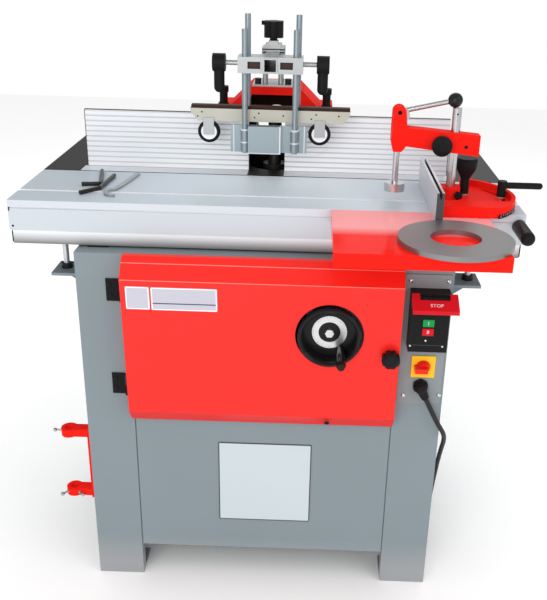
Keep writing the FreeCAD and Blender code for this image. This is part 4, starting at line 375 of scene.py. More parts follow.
def towardsMiddle(finish, reach):
    # grows to one at the middle of the machine, where light comes back from the fence and the hood
    middle, core = 0.02, 0.05
    return finish.rising(finish.absolute(finish.axis("X") - middle), reach, core)


def cabinetGrey():
    # enamel that turns warmer and paler on the legs towards the floor
    fadeTop, fadeFoot, most = 0.11, 0.03, 0.7
    paint = sheetPaint("cabinetGrey", "grey", roughness=0.42)
    return recolour(paint, paint.rising(paint.axis("Z"), fadeTop, fadeFoot, high=most), "paleNearFloor")


def switchPlatePaint():
    # the raised square under the main switch is yellow
    raisedFrom = -0.2832
    paint = sheetPaint("switchPlate", "plate", roughness=0.45)
    return recolour(paint, paint.axis("Y") < raisedFrom, "yellow")


def ballLever():
    # bright lever with a black ball at its end and a black pin in the arm's head
    ball, pin, pinHalf = 0.3405, -0.183, 0.0137
    metal = drawnMetal("ballLever", "silver", 0.28, 1.0, "lever")
    recolour(metal, metal.axis("X") > ball, "black", 0.0)
    return recolour(metal, metal.apart("Y", pin) > pinHalf ** 2, "black")


def guardWheel(name, centreX):
    # black tread outside, pale hub inside, told apart by the distance from the pin
    centreZ, hub, pin = 0.969, 0.0165, 0.0065
    wheel = plastic(name, "black", roughness=0.5)
    distance = wheel.apart("X", centreX) + wheel.apart("Z", centreZ)
    recolour(wheel, distance < hub ** 2, "paper")
    return recolour(wheel, distance < pin ** 2, "zinc")


def guardHandle():
    # bright stud next to the bar, black handle outside
    stud = 0.0935
    handle = plastic("guardHandle", "black", roughness=0.42)
    return recolour(handle, handle.apart("X", guardMiddle) < stud ** 2, "zinc", 0.9)


def boardLaminate():
    # cream laminate on the faces, a dark edge on top, zinc forks below and beside it
    topStrip, middle, half, forkTop = 1.0176, -0.033, 0.0062, 0.9919
    board = plastic("boardLaminate", "laminate", roughness=0.45)
    recolour(board, board.axis("Z") > topStrip, "umber")
    forks = either(board.axis("Z") < forkTop, board.apart("Y", middle) > half ** 2)
    return recolour(board, forks, "zinc", 0.8)


def fenceAlloy():
    # anodised plates with painted light towards the middle, painted shade in the rib grooves, and painted shade
    # along the top edge and the left end
    reach, ribs, top, leftEnd = 0.30, (0.0355, 0.0375), 0.9940, -0.4134
    metal = drawnMetal("fenceAlloy", "fence", 0.5, 0.1, "alongX")
    recolour(metal, towardsMiddle(metal, reach), "fenceBright")
    recolour(metal, metal.between("Y", *ribs), "ribShade")
    return recolour(metal, either(metal.axis("Z") > top, metal.axis("X") < leftEnd), "umber", 0.0)


def hoodRed():
    # red outside, painted shade inside the hood and in its port
    half, roof, depth = 0.0622, 1.0432, (0.0485, 0.1712)
    portHeight, port, portFront = 0.9455, 0.0473, 0.1600
    paint = castPaint("hoodRed", "red", roughness=0.38)
    across = paint.apart("X", 0)
    inside = (across < half ** 2) * (paint.axis("Z") < roof) * paint.between("Y", *depth)
    bore = (across + paint.apart("Z", portHeight) < port ** 2) * (paint.axis("Y") > portFront)
    return recolour(paint, either(inside, bore), "umber")


def carrierZinc():
    # zinc plate, posts and sleeve with two black bolts and dark joints under the cap
    boltInner, boltFoot, joints = 0.0252, 1.0547, ((1.1215, 1.1240), (1.1275, 1.1300))
    metal = drawnMetal("carrierZinc", "zinc", 0.36, 0.85, "upright")
    bolts = (metal.apart("X", guardMiddle) > boltInner ** 2) * (metal.axis("Z") > boltFoot)
    return recolour(metal, either(bolts, metal.spans("Z", *joints)), "black", 0.0)


def stopAlloy():
    # bright stop bar with painted shade in the slot along its top and a dark cap on its front end
    width, depth, cap = (0.3204, 0.3256), (0.9140, 0.9262), -0.3157
    metal = drawnMetal("stopAlloy", "alloy", 0.4, 0.6, "alongY")
    slot = metal.between("X", *width) * metal.between("Z", *depth)
    return recolour(metal, either(metal.axis("Y") < cap, slot), "shade", 0.0)


def tubeZinc():
    # painted shade inside the square tube and in the two pockets of the cross bar
    height, boreHalf, depth = 1.110, 0.0118, (-0.0615, -0.0525)
    inner, outer, half = 0.0195, 0.0465, 0.0072
    metal = drawnMetal("tubeZinc", "zinc", 0.34, 0.8, "tube")
    across, upright = metal.apart("X", guardMiddle), metal.apart("Z", height)
    bore = (across < boreHalf ** 2) * (upright < boreHalf ** 2)
    pocket = metal.between("Y", *depth) * (upright < half ** 2)
    pocket = pocket * (across > inner ** 2) * (across < outer ** 2)
    return recolour(metal, either(bore, pocket), "umber", 0.0)


def shoeZinc():
    # bluish zinc with painted highlights along the bends, on the box's lower edge and on the rims of the two clips
    top, bends = 0.9872, ((0.0163, 0.0192), (-0.0808, -0.0788), (0.0672, 0.0692))
    box, foot = (-0.0492, 0.0192), 0.9318
    clips, rims = ((-0.0655, -0.0493), (0.0385, 0.0575)), ((0.9770, 0.9802), (0.9510, 0.9540))
    metal = drawnMetal("shoeZinc", "blueZinc", 0.34, 0.75, "upright")
    edge = metal.between("X", *box) * (metal.axis("Z") < foot)
    bright = either(metal.spans("X", *bends), edge, metal.spans("X", *clips) * metal.spans("Z", *rims))
    return recolour(metal, bright * (metal.axis("Z") < top), "shoeGlint", 0.3)


def tableIron():
    # ground iron, with a paler strip in front of the fence: a painted reflection of its two plates
    depth, plates, top = (-0.009, 0.0352), ((-0.42, -0.055), (0.025, 0.39)), 0.8695
    iron = drawnMetal("groundIron", "iron", 0.42, 0.1, "ground")
    iron.set("Specular IOR Level", 0.22)
    strip = iron.between("Y", *depth) * iron.spans("X", *plates) * (iron.axis("Z") > top)
    return recolour(iron, strip, "alloy", 0.3)


def sliderAlloy():
    # pale front wall under a rounded lip with a painted highlight, a painted highlight in the groove along the
    # top, and painted light towards the middle near the fence
    far, near, farLight, reach = -0.24, -0.03, 0.25, 0.36
    wall, lip, width, depth = -0.2494, 0.856, (-0.186, -0.166), (0.855, 0.8698)
    metal = drawnMetal("sliderAlloy", "sliderTop", 0.44, 0.25, "alongX")
    nearFence = metal.rising(metal.axis("Y"), far, near, low=farLight)
    recolour(metal, towardsMiddle(metal, reach) * nearFence, "sliderBright")
    front = metal.axis("Y") < wall
    recolour(metal, front * (metal.axis("Z") < lip), "sliderWall", 0.1)
    recolour(metal, front * (metal.axis("Z") > lip), "sliderLip", 0.1)
    return recolour(metal, metal.between("Y", *width) * metal.between("Z", *depth), "paper", 0.0)


def railAlloy():
    # rounded rail: pale under the table, with painted shade falling to its lower edge
    foot, pale = 0.7825, 0.807
    metal = drawnMetal("railAlloy", "rail", 0.4, 0.2, "alongX")
    return recolour(metal, 1 - metal.rising(metal.axis("Z"), foot, pale), "railLowShade")


def bracketPaint():
    # grey plates with a bright threaded stud and a black nut
    x, y, nut, stud, nutTop = 0.412, -0.190, 0.0118, 0.0068, 0.7225
    paint = sheetPaint("bracketPaint", "grey", roughness=0.45)
    across = paint.absolute(paint.axis("X")) - x
    near = across * across + paint.apart("Y", y)
    recolour(paint, (near < nut ** 2) * (paint.axis("Z") < nutTop), "black")
    return recolour(paint, (near < stud ** 2) * (paint.axis("Z") > nutTop), "silver", 0.9)


def gripBlack():
    # black grip on a bright neck
    neck = -0.2582
    grip = plastic("gripBlack", "black", roughness=0.34)
    return recolour(grip, grip.axis("Y") > neck, "zinc", 0.9)


def leverBlack():
    # black clamping lever on a bright washer
    washer = 0.8834
    lever = plastic("leverBlack", "black", roughness=0.42)
    return recolour(lever, lever.axis("Z") < washer, "silver", 0.9)


def addFinishes():
    dress(cabinetGrey(), "left_side_panel", "right_side_panel", "front_lower_panel", "rear_panel")
    dress(doorPaint(), "red_door")
    dress(trayRed(), "extension_plate")
    dress(castPaint("castRed", "red", roughness=0.36), "mitre_base", "clamp_arm", "ring_bracket")
    dress(hoodRed(), "fence_hood")
    dress(sheetPaint("frameBlack", "black", roughness=0.5, specular=0.06), "table_frame", "height_guide",
          "hinge_leaves", "carriage")
    dress(bracketPaint(), "rail_brackets")
    dress(castPaint("motorPaint", "shade", roughness=0.5), "motor")
    dress(tableIron(), "main_table")
    dress(sliderAlloy(), "sliding_table")
    dress(railAlloy(), "slide_rail")
    dress(fenceAlloy(), "fence_plate_left", "fence_plate_right")
    dress(stopAlloy(), "mitre_fence")
    dress(ringSteel(), "insert_ring")
    dress(carrierZinc(), "guard_carrier")
    dress(tubeZinc(), "guard_tube")
    dress(shoeZinc(), "pressure_shoe")
    dress(drawnMetal("blueZinc", "blueZinc", 0.34, 0.75, "upright"), "board_rods")
    dress(boardLaminate(), "guard_board")
    dress(drawnMetal("brightSteel", "silver", 0.24, 1.0, "rod"), "motor_pulley", "clamp_column", "leadscrew",
          "height_shaft", "clamp_rod")
    dress(drawnMetal("darkSteel", "darkSteel", 0.35, 0.6, "rod"), "spindle")
    dress(plastic("wheelBlack", "black", roughness=0.26, coat=0.15), "handwheel", "handwheel_grip")
    dress(plastic("mouldedBlack", "black", roughness=0.38), "door_knob", "arm_knob", "fence_lever_left",
          "fence_lever_right", "guard_top_knob", "switch_box", "cable_gland", "mains_plug")
    dress(gripBlack(), "push_handle")
    dress(leverBlack(), "swivel_lever", "gauge_lever")
    dress(plastic("beltRubber", "black", roughness=0.7), "drive_belt")
    dress(ballLever(), "cam_lever")
    dress(guardHandle(), "guard_knob_left", "guard_knob_right")
    dress(guardWheel("leftWheel", centreX=-0.133), "wheel_left")
    dress(guardWheel("rightWheel", centreX=0.100), "wheel_right")
    dress(switchPlatePaint(), "control_plate")
    dress(plastic("startGreen", "green", roughness=0.35), "start_button")
    dress(plastic("stopRed", "stopRed", roughness=0.32), "stop_button", "stop_flap")
    dress(plastic("switchRed", "red", roughness=0.3, coat=0.3), "main_switch_knob")


addFinishes()
print("finishes on", len(nodes), "nodes")


def unit(vector):
    vector = np.asarray(vector, float)
    return vector / np.linalg.norm(vector)


class Seat:
    # a flat place on the object: its origin, what runs across and up it, and the way it faces
    def __init__(self, origin, across=(1, 0, 0), up=(0, 0, 1)):
        self.origin = np.asarray(origin, float)
        self.across = unit(across)
        self.out = unit(np.cross(self.across, up))
        self.up = np.cross(self.out, self.across)

    def at(self, points):
        points = np.asarray(points, float)
        return self.origin + points @ np.array([self.across, self.up, self.out])

    def shifted(self, across, up, out):
        return Seat(self.at([(across, up, out)])[0], self.across, self.up)


def skin(layers):
    # a closed skin through outlines with the same number of points, capped at both ends
    count = len(layers[0])
    faces = []
    for row in range(len(layers) - 1):
        low, high = row * count, (row + 1) * count
        for column in range(count):
            after = (column + 1) % count
            faces.append((low + column, low + after, high + after, high + column))
    faces.append(tuple(range(count - 1, -1, -1)))
    faces.append(tuple(range((len(layers) - 1) * count, len(layers) * count)))
    return np.concatenate(layers), faces


def raised(outline, height):
    return np.column_stack([outline, np.full(len(outline), height)])


def circle(radius, count):
    angle = np.linspace(0, 2 * math.pi, count, endpoint=False)
    return radius * np.column_stack([np.cos(angle), np.sin(angle)])


def roundedRectangle(width, height, radius, steps=5):
    corners = []
    for index, (side, end) in enumerate(((1, 1), (-1, 1), (-1, -1), (1, -1))):
        angle = np.linspace(0, math.pi / 2, steps) + index * math.pi / 2
        centre = np.array((side * (width / 2 - radius), end * (height / 2 - radius)))
        corners.append(centre + radius * np.column_stack([np.cos(angle), np.sin(angle)]))
    return np.concatenate(corners)


def inset(outline, amount):
    # every side of a counter-clockwise outline moved inward alike
    ahead = np.roll(outline, -1, axis=0) - outline
    ahead /= np.linalg.norm(ahead, axis=1, keepdims=True)
    inward = np.column_stack([-ahead[:, 1], ahead[:, 0]])
    before = np.roll(inward, 1, axis=0)
    share = amount / (1 + np.sum(inward * before, axis=1, keepdims=True))
    return outline + (inward + before) * share


def slab(seat, outline, low, high, edge):
    # a plate with a chamfered upper edge
    layers = [raised(outline, low), raised(outline, high - edge), raised(inset(outline, edge), high)]
    return skin([seat.at(layer) for layer in layers])


def turned(seat, profile, count):
    # a profile of radius and height turned about the seat's outward direction
    return skin([seat.at(raised(circle(radius, count), height)) for radius, height in profile])


def domed(radius, height, steps=5):
    # a rounded head: straight at the foot, most of a quarter ellipse above
    straightShare, turnShare = 0.35, 0.94
    angle = np.linspace(0, math.pi / 2 * turnShare, steps)
    rise = straightShare + (1 - straightShare) * np.sin(angle)
    return [(radius, 0)] + list(zip(radius * np.cos(angle), height * rise))


def band(seat, outline, inner, low, high):
    # a flat frame between two outlines with the same number of points
    layers = [raised(outline, low), raised(outline, high), raised(inner, high), raised(inner, low)]
    points, faces = skin([seat.at(layer) for layer in layers + layers[:1]])
    return points, faces[:-2]


def swept(path, outline, widths):
    # an outline carried along a flat path, its width scaled on the way
    layers = []
    for place, heading, width in zip(path, np.gradient(path, axis=0), widths):
        across = unit(np.cross(heading, (0, 0, 1)))
        rise = np.cross(across, unit(heading))
        layers.append(place + outline[:, :1] * width * across + outline[:, 1:] * rise)
    return skin(layers)


def word(letters, size, seat, depth):
    # plain lettering, made into a mesh first and then laid on its seat
    curve = bpy.data.curves.new("letters", "FONT")
    curve.body = letters
    curve.size = size
    curve.align_x = "CENTER"
    curve.align_y = "CENTER"
    curve.extrude = depth
    item = placed("letters", curve)
    mesh = bpy.data.meshes.new_from_object(item.evaluated_get(bpy.context.evaluated_depsgraph_get()))
    points = np.array([vertex.co for vertex in mesh.vertices])
    faces = [tuple(polygon.vertices) for polygon in mesh.polygons]
    bpy.data.objects.remove(item)
    bpy.data.curves.remove(curve)
    bpy.data.meshes.remove(mesh)
    return seat.at(points), faces


# points nearer than this are one, and edges sharper than this stay sharp
samePlace = 1e-7
sharpEdge = math.radians(32)


def addPiece(name, body, slot, finish, *parts):
    # one mesh from several closed parts, smooth but for its edges
    points, faces = [], []
    for partPoints, partFaces in parts:
        start = len(points)
        points.extend(map(tuple, partPoints))
        faces.extend(tuple(start + index for index in face) for face in partFaces)
    mesh = bpy.data.meshes.new(name)
    mesh.from_pydata(points, [], faces)
    work = bmesh.new()
    work.from_mesh(mesh)
    bmesh.ops.remove_doubles(work, verts=work.verts, dist=samePlace)
    bmesh.ops.recalc_face_normals(work, faces=work.faces)
    work.to_mesh(mesh)
    work.free()
    mesh.polygons.foreach_set("use_smooth", [True] * len(mesh.polygons))
    mesh.set_sharp_from_angle(angle=sharpEdge)
    mesh.materials.append(finish.material)
    item = placed(name, mesh)
    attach(item, body)


screwSteel = drawnMetal("screwSteel", "silver", 0.26, 1.0, "even")
edgeRed = castPaint("edgeRed", "red", roughness=0.38)
trimBlack = plastic("trimBlack", "black", roughness=0.4)
whitePrint = plastic("whitePrint", "paper", roughness=0.6)
plainLabel = sheetPaint("plainLabel", "paper", roughness=0.35)
tintedLabel = sheetPaint("tintedLabel", "labelTint", roughness=0.35)
tintedPlate = sheetPaint("tintedPlate", "plateTint", roughness=0.35)
labelLine = plastic("labelLine", "shade", roughness=0.5)
ruleSlate = plastic("ruleSlate", "slate", roughness=0.5)
darkEdgeStrip = drawnMetal("darkEdgeStrip", "umber", 0.6, 0.0, "topStrip")
toolSteel = drawnMetal("toolSteel", "darkSteel", 0.32, 0.9, "even")
keySteel = drawnMetal("keySteel", "zinc", 0.34, 0.95, "even")

# how far small pieces sink into what carries them, and the chamfer of printed marks
sink = 0.0002
fineEdge = 0.0001


def addScrews(name, body, finish, values):
    # round-headed screws on an upright face
    seats = [Seat((x, values["front"], z)) for x, z in values["screws"]]
    profile = domed(*values["screwSize"])
    addPiece(name, body, "steel", finish, *[turned(seat, profile, 20) for seat in seats])


def addBar(name, body, slot, finish, bar):
    # a bar that lies square to the machine
    left, right, front, back = (bar[key] for key in ("left", "right", "front", "back"))
    seat = Seat(((left + right) / 2, (front + back) / 2, bar["low"]), (1, 0, 0), (0, 1, 0))
    outline = roundedRectangle(right - left, back - front, bar["corner"], 3)
    addPiece(name, body, slot, finish, slab(seat, outline, 0, bar["top"] - bar["low"], bar["edge"]))


door = {
    "labelLeft": (-0.2395, 0.7065, 0.046, 0.048), "labelRight": (-0.150, 0.706, 0.127, 0.048), "gap": 0.00015,
    "thick": 0.0008, "corner": 0.001, "edge": 0.0003, "border": (0.0004, 0.0026), "borderRise": 0.00015,
    "ruleShare": 0.96, "ruleWidth": 0.0022, "ruleCorner": 0.0004, "ruleDropShare": 0.20,
    "lean": 16 / 296, "bendHeight": 0.743, "bendDepth": -0.330,
}


def doorSeat(x, z):
    depth = door["bendDepth"] + (door["bendHeight"] - z) * door["lean"]
    return Seat((x, depth - door["gap"], z), (1, 0, 0), (0, -door["lean"], 1))


def addDoorLabels():
    # two bare labels with pale borders at the door's upper left, a plain rule on the right one
    top = door["thick"]
    for name in ("labelLeft", "labelRight"):
        x, z, width, height = door[name]
        seat = doorSeat(x, z)
        outline = roundedRectangle(width, height, door["corner"])
        outer, inner = (inset(outline, amount) for amount in door["border"])
        addPiece(name, "door", "aluminium", tintedLabel, slab(seat, outline, 0, top, door["edge"]))
        addPiece(name + "Line", "door", "aluminium", plainLabel,
                 band(seat, outer, inner, top - sink, top + door["borderRise"]))
    x, z, width, height = door["labelRight"]
    seat = doorSeat(x, z).shifted(0, -height * door["ruleDropShare"], top)
    rule = roundedRectangle(width * door["ruleShare"], door["ruleWidth"], door["ruleCorner"])
    addPiece("labelRule", "door", "aluminium", ruleSlate, slab(seat, rule, -sink, sink, fineEdge))


panel = {
    "centre": (0.005, 0.259), "size": 0.197, "front": -0.280, "thick": 0.0012, "corner": 0.002, "edge": 0.0004,
    "frame": (-0.0008, 0.0012),
}


def addFrontPlate():
    # the square plate on the lower panel, left bare
    x, z = panel["centre"]
    seat = Seat((x, panel["front"], z))
    outline = roundedRectangle(panel["size"], panel["size"], panel["corner"])
    outer, inner = (inset(outline, amount) for amount in panel["frame"])
    addPiece("frontPlate", "cabinet", "aluminium", tintedPlate,
             slab(seat, outline, -sink, panel["thick"], panel["edge"]))
    addPiece("frontPlateEdge", "cabinet", "aluminium", labelLine,
             band(seat, outer, inner, -sink, panel["thick"] + sink))


switchPlate = {
    "front": -0.283, "screws": ((0.286, 0.742), (0.359, 0.742), (0.289, 0.489), (0.362, 0.491)),
    "screwSize": (0.0045, 0.003),
}
controls = {
    "front": -0.315, "screws": ((0.2895, 0.617), (0.353, 0.617)), "screwSize": (0.0021, 0.0008),
    "buttonX": 0.322, "buttonFront": -0.3175, "lineHeight": 0.619, "lineSize": (0.058, 0.001, 0.0003),
    "lineRise": 0.0003, "dot": (0.319, 0.629), "dotSize": (0.0019, 0.0008),
    "flapText": (0.331, -0.3418, 0.7151), "flapUp": (0, 37, 20), "flapLetters": 0.0105, "flapDepth": 0.00025,
    "marks": (("startMark", "start_button", "start_green", "I", 0.667),
              ("stopMark", "stop_button", "stop_red", "0", 0.648)),
    "markSize": 0.010, "markDepth": 0.0002,
}


def addControls():
    # screws of the switch plate and the switch box, and the plain marks on the switch
    addScrews("plateScrews", "cabinet", screwSteel, switchPlate)
    addScrews("boxScrews", "cabinet", screwSteel, controls)
    front = controls["front"]
    seat = Seat((controls["buttonX"], front, controls["lineHeight"]))
    addPiece("boxLine", "cabinet", "black_plastic", labelLine,
             slab(seat, roundedRectangle(*controls["lineSize"]), -sink, controls["lineRise"], fineEdge))
    x, z = controls["dot"]
    addPiece("boxDot", "cabinet", "black_plastic", whitePrint,
             turned(Seat((x, front, z)), domed(*controls["dotSize"]), 16))
    seat = Seat(controls["flapText"], (1, 0, 0), controls["flapUp"])
    addPiece("stopWord", "stop_flap", "stop_red", whitePrint,
             word("STOP", controls["flapLetters"], seat, controls["flapDepth"]))
    for name, body, slot, letters, height in controls["marks"]:
        seat = Seat((controls["buttonX"], controls["buttonFront"], height))
        addPiece(name, body, slot, whitePrint, word(letters, controls["markSize"], seat, controls["markDepth"]))


gland = {
    "centre": (0.322, -0.283, 0.512), "radius": 0.0158, "depth": 0.008, "ribs": 6, "ribShare": 0.07, "points": 96,
    "chamfer": 0.0015, "shoulderShare": 0.9, "mouthShare": 0.78,
}


def addGlandNut():
    # ribbed nut round the gland's foot: its radius swings between flat and rib
    angle = np.linspace(0, 2 * math.pi, gland["points"], endpoint=False)
    swing = 1 - gland["ribShare"] * np.abs(np.cos(gland["ribs"] / 2 * angle)) ** 3
    ribbed = circle(gland["radius"], gland["points"]) * swing[:, None]
    seat, top = Seat(gland["centre"]), gland["depth"]
    layers = [(ribbed, -sink), (ribbed, top - gland["chamfer"]), (ribbed * gland["shoulderShare"], top),
              (ribbed * gland["mouthShare"], top)]
    addPiece("glandNut", "cabinet", "black_plastic", trimBlack,
             skin([seat.at(raised(outline, height)) for outline, height in layers]))


dial = {
    "centre": (0.131, 0.637), "face": -0.305, "outer": 0.0345, "inner": 0.0215, "points": 72, "sunk": 0.0004,
    "rise": 0.0022, "marks": 40, "longEvery": 5, "long": 0.0045, "short": 0.0026, "markInset": 0.0006,
    "markHalf": 0.0003, "markLow": 0.0018, "markHigh": 0.0024,
}


def addDial():
    # graduated ring in the dish of the handwheel
    x, z = dial["centre"]
    seat = Seat((x, dial["face"], z))
    edges = (circle(dial[key], dial["points"]) for key in ("outer", "inner"))
    addPiece("dialRing", "handwheel", "steel", screwSteel, band(seat, *edges, -dial["sunk"], dial["rise"]))
    marks = []
    for index in range(dial["marks"]):
        angle = 2 * math.pi * index / dial["marks"]
        radial = np.array((math.cos(angle), math.sin(angle)))
        side = np.array((-radial[1], radial[0])) * dial["markHalf"]
        start = radial * (dial["outer"] - dial["markInset"])
        end = start - radial * (dial["short"] if index % dial["longEvery"] else dial["long"])
        outline = np.array([end - side, start - side, start + side, end + side])
        marks.append(slab(seat, outline, dial["markLow"], dial["markHigh"], fineEdge))
    addPiece("dialMarks", "handwheel", "steel", labelLine, *marks)


rings = {
    "axis": (-0.416, -0.2625), "radius": 0.0172, "upper": 0.3645, "lower": 0.2145, "stem": 0.0021, "reach": 0.015,
    "sunk": 0.001, "collarShare": 1.6, "collar": 0.003, "collarTop": 0.004, "ball": 0.0042,
    "ballTurn": (0.35, math.pi - 0.15), "ballSteps": 9, "screws": (("upper", 180), ("lower", 225), ("lower", 315)),
}


def thumbScrew(height, angle):
    # stem with a collar and a small round head, standing out of a clamp ring
    outward = np.array((math.cos(angle), math.sin(angle), 0))
    foot = np.array((*rings["axis"], height)) + outward * (rings["radius"] - rings["sunk"])
    side = np.array((-outward[1], outward[0], 0))
    stem, ball, reach = rings["stem"], rings["ball"], rings["reach"]
    collar = stem * rings["collarShare"]
    turn = np.linspace(*rings["ballTurn"], rings["ballSteps"])
    profile = [(collar, 0), (collar, rings["collar"]), (stem, rings["collarTop"]), (stem, reach - ball)]
    profile += [(ball * math.sin(step), reach - ball * math.cos(step)) for step in turn]
    return turned(Seat(foot, side, np.cross(outward, side)), profile, 20)


def addThumbScrews():
    # one screw on the upper ring, two in a V at the front of the lower one
    addPiece("ringScrews", "cabinet", "steel", keySteel,
             *[thumbScrew(rings[ring], math.radians(angle)) for ring, angle in rings["screws"]])


# the hood's front edge folded down under its top
hoodLip = {
    "left": -0.0538, "right": 0.0538, "front": 0.0477, "back": 0.0555, "low": 1.0345, "top": 1.0445,
    "corner": 0.0006, "edge": 0.0004,
}
board = {
    "front": -0.039, "screwSize": (0.0017, 0.0007),
    "screws": ((-0.147, 1.010), (-0.156, 1.001), (-0.028, 1.010), (-0.037, 1.001), (0.092, 1.010),
               (0.082, 1.001), (0.139, 1.008), (0.023, 1.006)),
}
# dark strip along the top of the guard board, behind its cream face, seen from above
topBoard = {
    "left": -0.171, "right": 0.163, "front": -0.0271, "back": -0.009, "low": 1.008, "top": 1.0225,
    "corner": 0.001, "edge": 0.0006,
}
hinges = {
    "front": -0.283, "screws": [(-0.303, low + rise) for low in (0.471, 0.679) for rise in (0.012, 0.035)],
    "screwSize": (0.0042, 0.0018),
}
buffer = {"place": (0.133, -0.3065, 0.4305), "up": (0, -22, 30), "size": (0.0055, 0.0035)}


def addDoorBuffer():
    # black button on the door's slanting foot
    seat = Seat(buffer["place"], (1, 0, 0), buffer["up"])
    addPiece("doorBuffer", "door", "black_plastic", trimBlack, turned(seat, domed(*buffer["size"]), 24))


mitre = {
    "pivot": (0.360, -0.183), "inner": 0.1277, "outer": 0.1287, "low": 0.8712, "high": 0.8785, "start": -52,
    "end": -8, "steps": 25, "marks": 12, "margin": 3, "longEvery": 3, "long": 0.0055, "short": 0.0035,
    "markHalf": 0.0004, "markTop": 0.001,
}


def mitrePoint(angle, radius, height):
    turn = math.radians(angle)
    x, y = mitre["pivot"]
    return (x + radius * math.cos(turn), y + radius * math.sin(turn), height)


def addMitreScale():
    # black strip bent round the quadrant's edge, with white degree marks
    inner, outer, low, high = (mitre[key] for key in ("inner", "outer", "low", "high"))
    corners = ((inner, low), (outer, low), (outer, high), (inner, high))
    layers = [np.array([mitrePoint(angle, *corner) for corner in corners])
              for angle in np.linspace(mitre["start"], mitre["end"], mitre["steps"])]
    addPiece("mitreScale", "mitre_gauge", "black_plastic", trimBlack, skin(layers))
    marks = []
    half, top, margin = mitre["markHalf"], -mitre["markTop"], mitre["margin"]
    for index, angle in enumerate(np.linspace(mitre["start"] + margin, mitre["end"] - margin, mitre["marks"])):
        turn = math.radians(angle)
        seat = Seat(mitrePoint(angle, outer, high), (-math.sin(turn), math.cos(turn), 0))
        foot = -(mitre["short"] if index % mitre["longEvery"] else mitre["long"])
        outline = np.array([(-half, foot), (half, foot), (half, top), (-half, top)])
        marks.append(slab(seat, outline, -sink, sink, fineEdge))
    addPiece("mitreMarks", "mitre_gauge", "black_plastic", whitePrint, *marks)


star = {
    "place": (0.371, -0.1995, 0.893), "across": (0.95, 0.3, 0), "radius": 0.0085, "lobes": 5, "lobeShare": 0.16,
    "points": 60, "foot": 0.004, "depth": 0.0085, "chamfer": 0.0015, "waistShare": 0.86, "stem": 0.003,
    "stemFoot": -0.004, "stemTop": 0.0045,
}


def addMitreStar():
    # small star-headed screw in front of the boss, with its stem
    seat = Seat(star["place"], star["across"])
    angle = np.linspace(0, 2 * math.pi, star["points"], endpoint=False)
    lobes = 1 - star["lobeShare"] * (0.5 + 0.5 * np.cos(star["lobes"] * angle))
    outline = circle(star["radius"], star["points"]) * lobes[:, None]
    waist, low, high = outline * star["waistShare"], star["foot"], star["foot"] + star["depth"]
    layers = [(waist, low), (outline, low + star["chamfer"]), (outline, high - star["chamfer"]), (waist, high)]
    addPiece("mitreStar", "mitre_gauge", "black_plastic", trimBlack,
             skin([seat.at(raised(shape, height)) for shape, height in layers]),
             turned(seat, [(star["stem"], star["stemFoot"]), (star["stem"], star["stemTop"])], 16))


gaugeKnob = {
    "axis": (0.394, -0.150), "foot": 0.914,
    "profile": ((0.0095, 0), (0.0125, 0.006), (0.0205, 0.019), (0.0225, 0.024), (0.0225, 0.036), (0.019, 0.041)),
}


def addGaugeKnob():
    # spreading head of the clamping lever in the middle of the mitre gauge
    seat = Seat((*gaugeKnob["axis"], gaugeKnob["foot"]), (1, 0, 0), (0, 1, 0))
    addPiece("gaugeKnob", "gauge_lever", "black_plastic", trimBlack, turned(seat, gaugeKnob["profile"], 40))


# black discs of painted shade in the bolt holes at the arm's end and near the column's top: centre, radius, depth,
# points round
holes = {
    "taper": 0.0002,
    "places": (("armHole", "clamp_arm", (0.381, -0.197, 0.986), 0.0036, 0.0002, 24),
               ("columnHole", "clamp_column", (0.360, -0.1921, 1.047), 0.002, 0.0006, 16)),
}


def addHoles():
    for name, body, centre, radius, depth, points in holes["places"]:
        profile = [(radius, -depth), (radius - holes["taper"], sink)]
        addPiece(name, body, "black_paint", trimBlack, turned(Seat(centre), profile, points))


slider = {
    "front": -0.250, "screws": ((-0.493, 0.818),), "screwSize": (0.0022, 0.0008), "notch": (-0.4975, 0.852),
    "notchSize": (0.0024, 0.008, 0.0008), "notchRise": 0.0004, "railEnd": 0.495, "railCentre": (-0.154, 0.7955),
    "railSize": (0.188, 0.027, 0.005), "capThick": 0.0026, "capEdge": 0.0008,
}


def addSliderEnds():
    # dark screw at the sliding table's left end, a black slab of painted shade for the notch above it, thin black
    # caps on the rail's ends
    addScrews("sliderScrew", "sliding_table", trimBlack, slider)
    x, z = slider["notch"]
    notch = roundedRectangle(*slider["notchSize"])
    addPiece("sliderNotch", "sliding_table", "aluminium", trimBlack,
             slab(Seat((x, slider["front"], z)), notch, -sink, slider["notchRise"], fineEdge))
    y, z = slider["railCentre"]
    outline = roundedRectangle(*slider["railSize"])
    for name, side in (("leftRailCap", -1), ("rightRailCap", 1)):
        seat = Seat((side * slider["railEnd"], y, z), (0, side, 0))
        addPiece(name, "cabinet", "black_plastic", trimBlack,
                 slab(seat, outline, -sink, slider["capThick"], slider["capEdge"]))


# places on the table in millimetres
tools = {
    "top": 0.870, "keyRadius": 0.0044, "spannerWidth": 0.0115, "spannerThick": 0.0045, "spannerCorner": 0.001,
    "spanner": ((-289, -35), (-297, -93), (-306, -143), (-312, -163), (-321, -170), (-324, -185), (-316, -203),
                (-301, -208)),
    "taperPlaces": (0, 0.45, 0.7, 1), "taperShares": (1, 0.9, 0.62, 0.5),
    "keys": (("largeKey", ((-384, -136), (-352, -130), (-348, -124), (-369, -24))),
             ("smallKey", ((-371, -200), (-343, -164), (-340, -155), (-334, -60)))),
}


def smoothed(places, height, steps=6):
    # a curve through the given millimetre places, each stretch bending towards its neighbours
    rows = np.column_stack([np.array(places) / 1000, np.full(len(places), height)])
    before = np.concatenate([[2 * rows[0] - rows[1]], rows, [2 * rows[-1] - rows[-2]]])
    path = []
    for first, start, end, last in zip(before, before[1:], before[2:], before[3:]):
        square, cube = 2 * first - 5 * start + 4 * end - last, 3 * start - first - 3 * end + last
        for share in np.linspace(0, 1, steps, endpoint=False):
            path.append(start + ((end - first) * share + square * share ** 2 + cube * share ** 3) / 2)
    return np.array(path + [rows[-1]])


